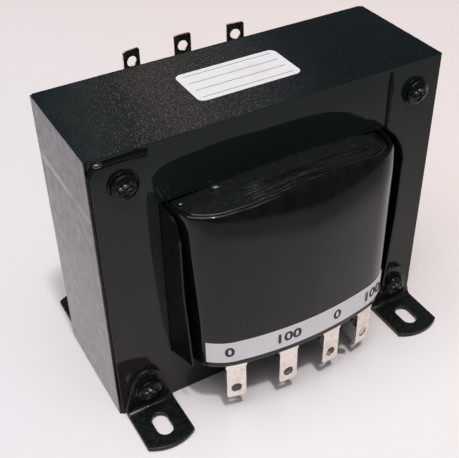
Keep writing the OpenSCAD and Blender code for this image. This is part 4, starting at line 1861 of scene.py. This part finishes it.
@dataclass
class Fasteners:
    """Bolts with domed cross-recess heads, washers and nuts, all under thick varnish.

    Attributes:
        head_r: Radius of a head.
        head_h: Height of a head.
        rim: Height of the head's upright rim.
        head_set: How far it stays behind the front of its node.
        seat: How far the head's seat is behind that front.
        lump: Height of the varnish's lumps on a head.
        lump_per_mm: Lumps in each millimetre.
        washer_r: Radius of a washer.
        washer_in: Radius of its hole.
        washer_edge: Width of its broken edge.
        shank_r: Radius of the shank, at the root of its thread.
        thread_r: Radius over the thread.
        thread_half: Half of the width of its ridge.
        thread_run: Distances of its start and end from the bolt's tail.
        pitch: Pitch of the thread.
        turn_steps: Steps round a turn of it.
        recess_w: Width of a bar of the recess.
        recess_l: Length of a bar.
        recess_soft: Widths over which a bar fades at its sides and at its ends.
        recess_h: Depth of the recess, as the varnish leaves it.
        sides: Steps round a head.
        rings: Steps across its dome.
    """

    head_r: float = 3.9
    head_h: float = 1.9
    rim: float = 0.6
    head_set: float = 1.2
    seat: float = 3.1
    lump: float = 0.22
    lump_per_mm: float = 0.6
    washer_r: float = 4.5
    washer_in: float = 2.5
    washer_edge: float = 0.3
    shank_r: float = 2.1
    thread_r: float = 2.38
    thread_half: float = 0.3
    thread_run: Pair = (6.2, 0.7)
    pitch: float = 0.8
    turn_steps: int = 24
    recess_w: float = 1.3
    recess_l: float = 4.2
    recess_soft: Pair = (0.35, 0.8)
    recess_h: float = 0.4
    sides: int = 64
    rings: int = 24

    def bolt(self, name: str) -> None:
        """One bolt, spun about its axis, with a recess pressed in its head and a thread on its tail.

        Args:
            name: Its CAD node.
        """
        low, high = node_box_mm(name)
        axis = (low + high) / 2
        tip, seat, tail = low.y + self.head_set, low.y + self.seat, high.y
        section, dome = [(0.0, tip)], self.head_h - self.rim
        for step in range(1, self.rings + 1):
            angle = TAU / 4 * step / self.rings
            section.append((self.head_r * math.sin(angle), tip + dome * (1 - math.cos(angle))))
        section += [(self.head_r, seat - 0.25), (self.head_r - 0.2, seat), (self.shank_r, seat),
                    (self.shank_r, tail - 0.6), (self.shank_r - 0.5, tail), (0.0, tail)]  # fmt: skip
        mesh = bmesh.new()
        revolve(mesh, section, axis, self.sides)
        bmesh.ops.remove_doubles(mesh, verts=mesh.verts[:], dist=WELD_M)
        for vert in mesh.verts:
            x, y, z = vert.co / MM
            if y < seat - 1:
                place = Vector((x - axis.x, y, z - axis.z))
                bump = noise.noise(place * self.lump_per_mm + Vector((axis.x, axis.z, 0)))
                vert.co.y += (self.recess_depth(place.x, place.z) + self.lump * bump) * MM
        start, end = self.thread_run
        root, half, first = self.shank_r - 0.05, self.thread_half, tail - start
        ridge = ((root, first - half), (self.thread_r, first), (root, first + half))
        turns = math.floor((start - end) / self.pitch)
        revolve(mesh, ridge, axis, self.turn_steps, turns=turns, pitch=self.pitch)
        finish_piece(name + "_varnished", mesh, Finish.FASTENER, [name], flat_area=0.0)

    def recess_depth(self, x: float, z: float) -> float:
        """Depth of the cross recess at a place on the head.

        Args:
            x: How far right of the axis the place is.
            z: How far above the axis it is.

        Returns:
            The depth, in millimetres.
        """
        beside, end = self.recess_soft
        share = 0.0
        for along, across in ((x, z), (z, x)):
            bar = held((self.recess_w / 2 - abs(across)) / beside + 0.5)
            share = max(share, bar * held((self.recess_l / 2 - abs(along)) / end + 0.5))
        return smooth(share) * self.recess_h

    def front_washers(self) -> None:
        """The four washers under the heads, each a section spun about its bolt."""
        thick = node_box_mm("front_i_lamination")[0].y - node_box_mm("bolt_high_left")[0].y - self.seat
        mesh = bmesh.new()
        for corner in CORNERS:
            low, high = node_box_mm(f"bolt_{corner}")
            seat, edge = low.y + self.seat, self.washer_edge
            section = [(self.washer_in, seat), (self.washer_r - edge, seat), (self.washer_r, seat + edge),
                       (self.washer_r, seat + thick), (self.washer_in, seat + thick)]  # fmt: skip
            revolve(mesh, section, (low + high) / 2, self.sides, True)
        bmesh.ops.remove_doubles(mesh, verts=mesh.verts[:], dist=WELD_M)
        finish_piece("front_washers_varnished", mesh, Finish.FASTENER, ["front_washers"], flat_area=0.0)

    def build(self) -> None:
        """Builds the bolts, nuts and washers."""
        for corner in CORNERS:
            self.bolt(f"bolt_{corner}")
            nut = f"nut_{corner}"
            finish_piece(nut + "_varnished", copy_of_node(nut, 0.2), Finish.FASTENER, [nut], flat_area=3)
        self.front_washers()
        name = "rear_washers"
        finish_piece(name + "_varnished", copy_of_node(name, 0.22, 3), Finish.FASTENER, [name], flat_area=0.0)


@dataclass
class MountingFeet:
    """Four bent sheet-metal feet under black varnish, their upright legs tapered to a round end.

    Attributes:
        soften: Rounding of their edges.
        taper: Degrees that the sides of an upright leg lean in.
        round_r: Radius of its round end.
        round_z: Height of that end's centre.
        cuts: Flats along half of the end.
    """

    soften: float = 0.3
    taper: float = 16.4
    round_r: float = 5.3
    round_z: float = 11.4
    cuts: int = 7

    def foot(self, name: str) -> None:
        """One foot: its leg is cut to a taper and a round end by planes that touch the end's circle.

        Args:
            name: Its CAD node.
        """
        low, high = node_box_mm(name)
        mesh = merged_node(name)
        for step in range(-self.cuts, self.cuts + 1):
            angle = math.radians(90 + step * (90 - self.taper) / self.cuts)
            way = Vector((math.cos(angle), 0, math.sin(angle)))
            place = Vector(((low.x + high.x) / 2, 0, self.round_z)) + way * self.round_r
            bmesh.ops.bisect_plane(
                mesh, geom=whole(mesh), plane_co=place * MM, plane_no=way, clear_outer=True
            )  # fmt: skip
            bmesh.ops.holes_fill(mesh, edges=[e for e in mesh.edges if e.is_boundary], sides=0)
        soften_edges(mesh, self.soften, 3)
        finish_piece(name + "_varnished", mesh, Finish.FOOT, [name], flat_area=4)

    def build(self) -> None:
        """Builds the feet."""
        for side in ("front_left", "front_right", "rear_left", "rear_right"):
            self.foot(f"foot_{side}")


@dataclass
class TopLabel:
    """The label on top of the core, bare but for plain ruled lines.

    Attributes:
        rows: Number of lines.
        line_t: Thickness of a line.
        margin: Space between the lines and the label's edge.
        proud: How far the ink stands off the paper.
    """

    rows: int = 4
    line_t: float = 0.22
    margin: float = 2.0
    proud: float = 0.01

    def line(self, name: str, low: Pair, high: Pair, level: float) -> None:
        """One printed line.

        Args:
            name: The piece's name.
            low: Its lowest x and y.
            high: Its highest x and y.
            level: Height of the paper's face.
        """
        mesh = bmesh.new()
        middle = Vector(((low[0] + high[0]) / 2, (low[1] + high[1]) / 2, level + self.proud)) * MM
        size = Matrix.Diagonal(((high[0] - low[0]) / 2, (high[1] - low[1]) / 2, 1, 1))
        place = Matrix.Translation(middle) @ size
        bmesh.ops.create_grid(mesh, x_segments=1, y_segments=1, size=MM, matrix=place)
        finish_piece(name, mesh, Finish.INK, flat_area=0.0)

    def build(self) -> None:
        """Builds the label and its lines."""
        low, high = node_box_mm("top_label")
        mesh = copy_of_node("top_label", 0.05)
        bmesh.ops.translate(mesh, verts=mesh.verts[:], vec=(0, 0, -self.proud * 2 * MM))
        finish_piece("ruled_label", mesh, Finish.LABEL, ["top_label"], flat_area=0.0)
        left, right = low.x + self.margin, high.x - self.margin
        front, back = low.y + self.margin, high.y - self.margin
        half, level = self.line_t / 2, high.z - self.proud * 2
        for row in range(self.rows):
            y = front + (back - front) * row / (self.rows - 1)
            self.line(f"label_rule_{row + 1}", (left, y - half), (right, y + half), level)


@dataclass
class VarnishBeads:
    """Runs, beads and drops of varnish that dried on the front of the core and on the coil's end.

    Attributes:
        drops: Places of the drops across and along the core, each with its radius.
        drop_up: How far their middles are above the coil's former.
        head_drops: Drops on a bolt's head: places across and up from its axis, each with its radius.
        head_drop_set: How far those are behind the front of the bolt's node.
        shape: How much wider, deeper and taller than a ball a drop is.
        run: The run below the upper right bolt: places across and down from the core's top, with widths.
        run_h: How far it stands off the plate.
        arc: The same for the arc over the upper left bolt.
        arc_h: How far that stands off the plate.
        corner_drop: The drop on that arc: places across the core, off the plate and down from its top.
        corner_drop_r: Its radius.
    """

    drops: tuple[Point, ...] = (
        (-21.3, -21.9, 1.5), (-33.2, -24.0, 0.8), (12.8, -22.4, 0.9), (22.6, -22.4, 1.2), (17.0, -33.0, 0.8),
    )  # fmt: skip
    drop_up: float = 0.4
    head_drops: tuple[Point, ...] = ((-1.5, 0.9, 0.65), (-0.1, 1.4, 0.85), (0.8, 0.1, 0.6))
    head_drop_set: float = 1.4
    shape: Point = (1.3, 1.0, 0.65)
    run: tuple[Point, ...] = (
        (38.2, 0.9, 1.4), (38.3, 4, 2.3), (38.4, 12, 2.1), (38.3, 18, 1.9), (38.4, 22, 1.3),
    )  # fmt: skip
    run_h: float = 0.35
    arc: tuple[Point, ...] = (
        (-56.3, 5.0, 0.8), (-56.0, 2.6, 1.6), (-54.2, 1.5, 2.6), (-50.0, 1.3, 2.6), (-45.5, 1.25, 2.6),
        (-42.5, 1.5, 2.8), (-40.2, 1.9, 2.4),
    )  # fmt: skip
    arc_h: float = 0.6
    corner_drop: Point = (-53.9, -0.4, 1.0)
    corner_drop_r: float = 1.1

    def drop(self, name: str, place: Point, size: float) -> None:
        """A small drop of varnish.

        Args:
            name: The piece's name.
            place: Its middle.
            size: Its radius.
        """
        mesh = bmesh.new()
        shape = Matrix.Translation(Vector(place) * MM) @ Matrix.Diagonal((*self.shape, 1.0))
        bmesh.ops.create_uvsphere(mesh, u_segments=16, v_segments=10, radius=size * MM, matrix=shape)
        finish_piece(name, mesh, Finish.DROP, flat_area=0.0)

    def bead(self, name: str, points: Sequence[Point], depth: float) -> None:
        """A bead that follows points on the front plate.

        Args:
            name: The piece's name.
            points: Places across the core and down from its top, each with the bead's width there.
            depth: How far it stands off the plate.
        """
        face, top = node_box_mm("front_e_lamination")[0].y, node_box_mm("front_i_lamination")[1].z
        line, halves = [(x, 0, top - down) for x, down, _ in points], [wide / 2 for *_, wide in points]
        mesh = rod(line, 2.0, halves, sides=4, steps=8)
        for vert in mesh.verts:
            vert.co.y = face * MM + vert.co.y * depth / max(halves)
        finish_piece(name, mesh, Finish.RUN, flat_area=0.0)

    def build(self) -> None:
        """Builds the beads and the drops."""
        self.bead("bead_run", self.run, self.run_h)
        self.bead("bead_arc", self.arc, self.arc_h)
        low, high = node_box_mm("front_i_lamination")
        x, off, down = self.corner_drop
        self.drop("bead_drop", (x, low.y + off, high.z - down), self.corner_drop_r)
        level = node_box_mm("coil_former")[1].z
        for number, (x, y, size) in enumerate(self.drops, start=1):
            self.drop(f"varnish_drop_{number}", (x, y, level + self.drop_up), size)
        for corner in CORNERS:
            low, high = node_box_mm(f"bolt_{corner}")
            axis, y = (low + high) / 2, low.y + self.head_drop_set
            for number, (x, z, size) in enumerate(self.head_drops, start=1):
                self.drop(f"head_drop_{corner}_{number}", (axis.x + x, y, axis.z + z), size)


def main() -> None:
    """Builds the transformer in its studio."""
    logging.basicConfig(level=logging.INFO, format="%(message)s")
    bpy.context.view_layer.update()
    Studio().build()
    LaminationStack().build()
    plan = CoilPlan()
    Coil(plan).build()
    WindowLiners(plan).build()
    places = Terminals(plan).build()
    NumberStrip(plan).build(places)
    Fasteners().build()
    MountingFeet().build()
    TopLabel().build()
    VarnishBeads().build()


if __name__ == "__main__":
    main()
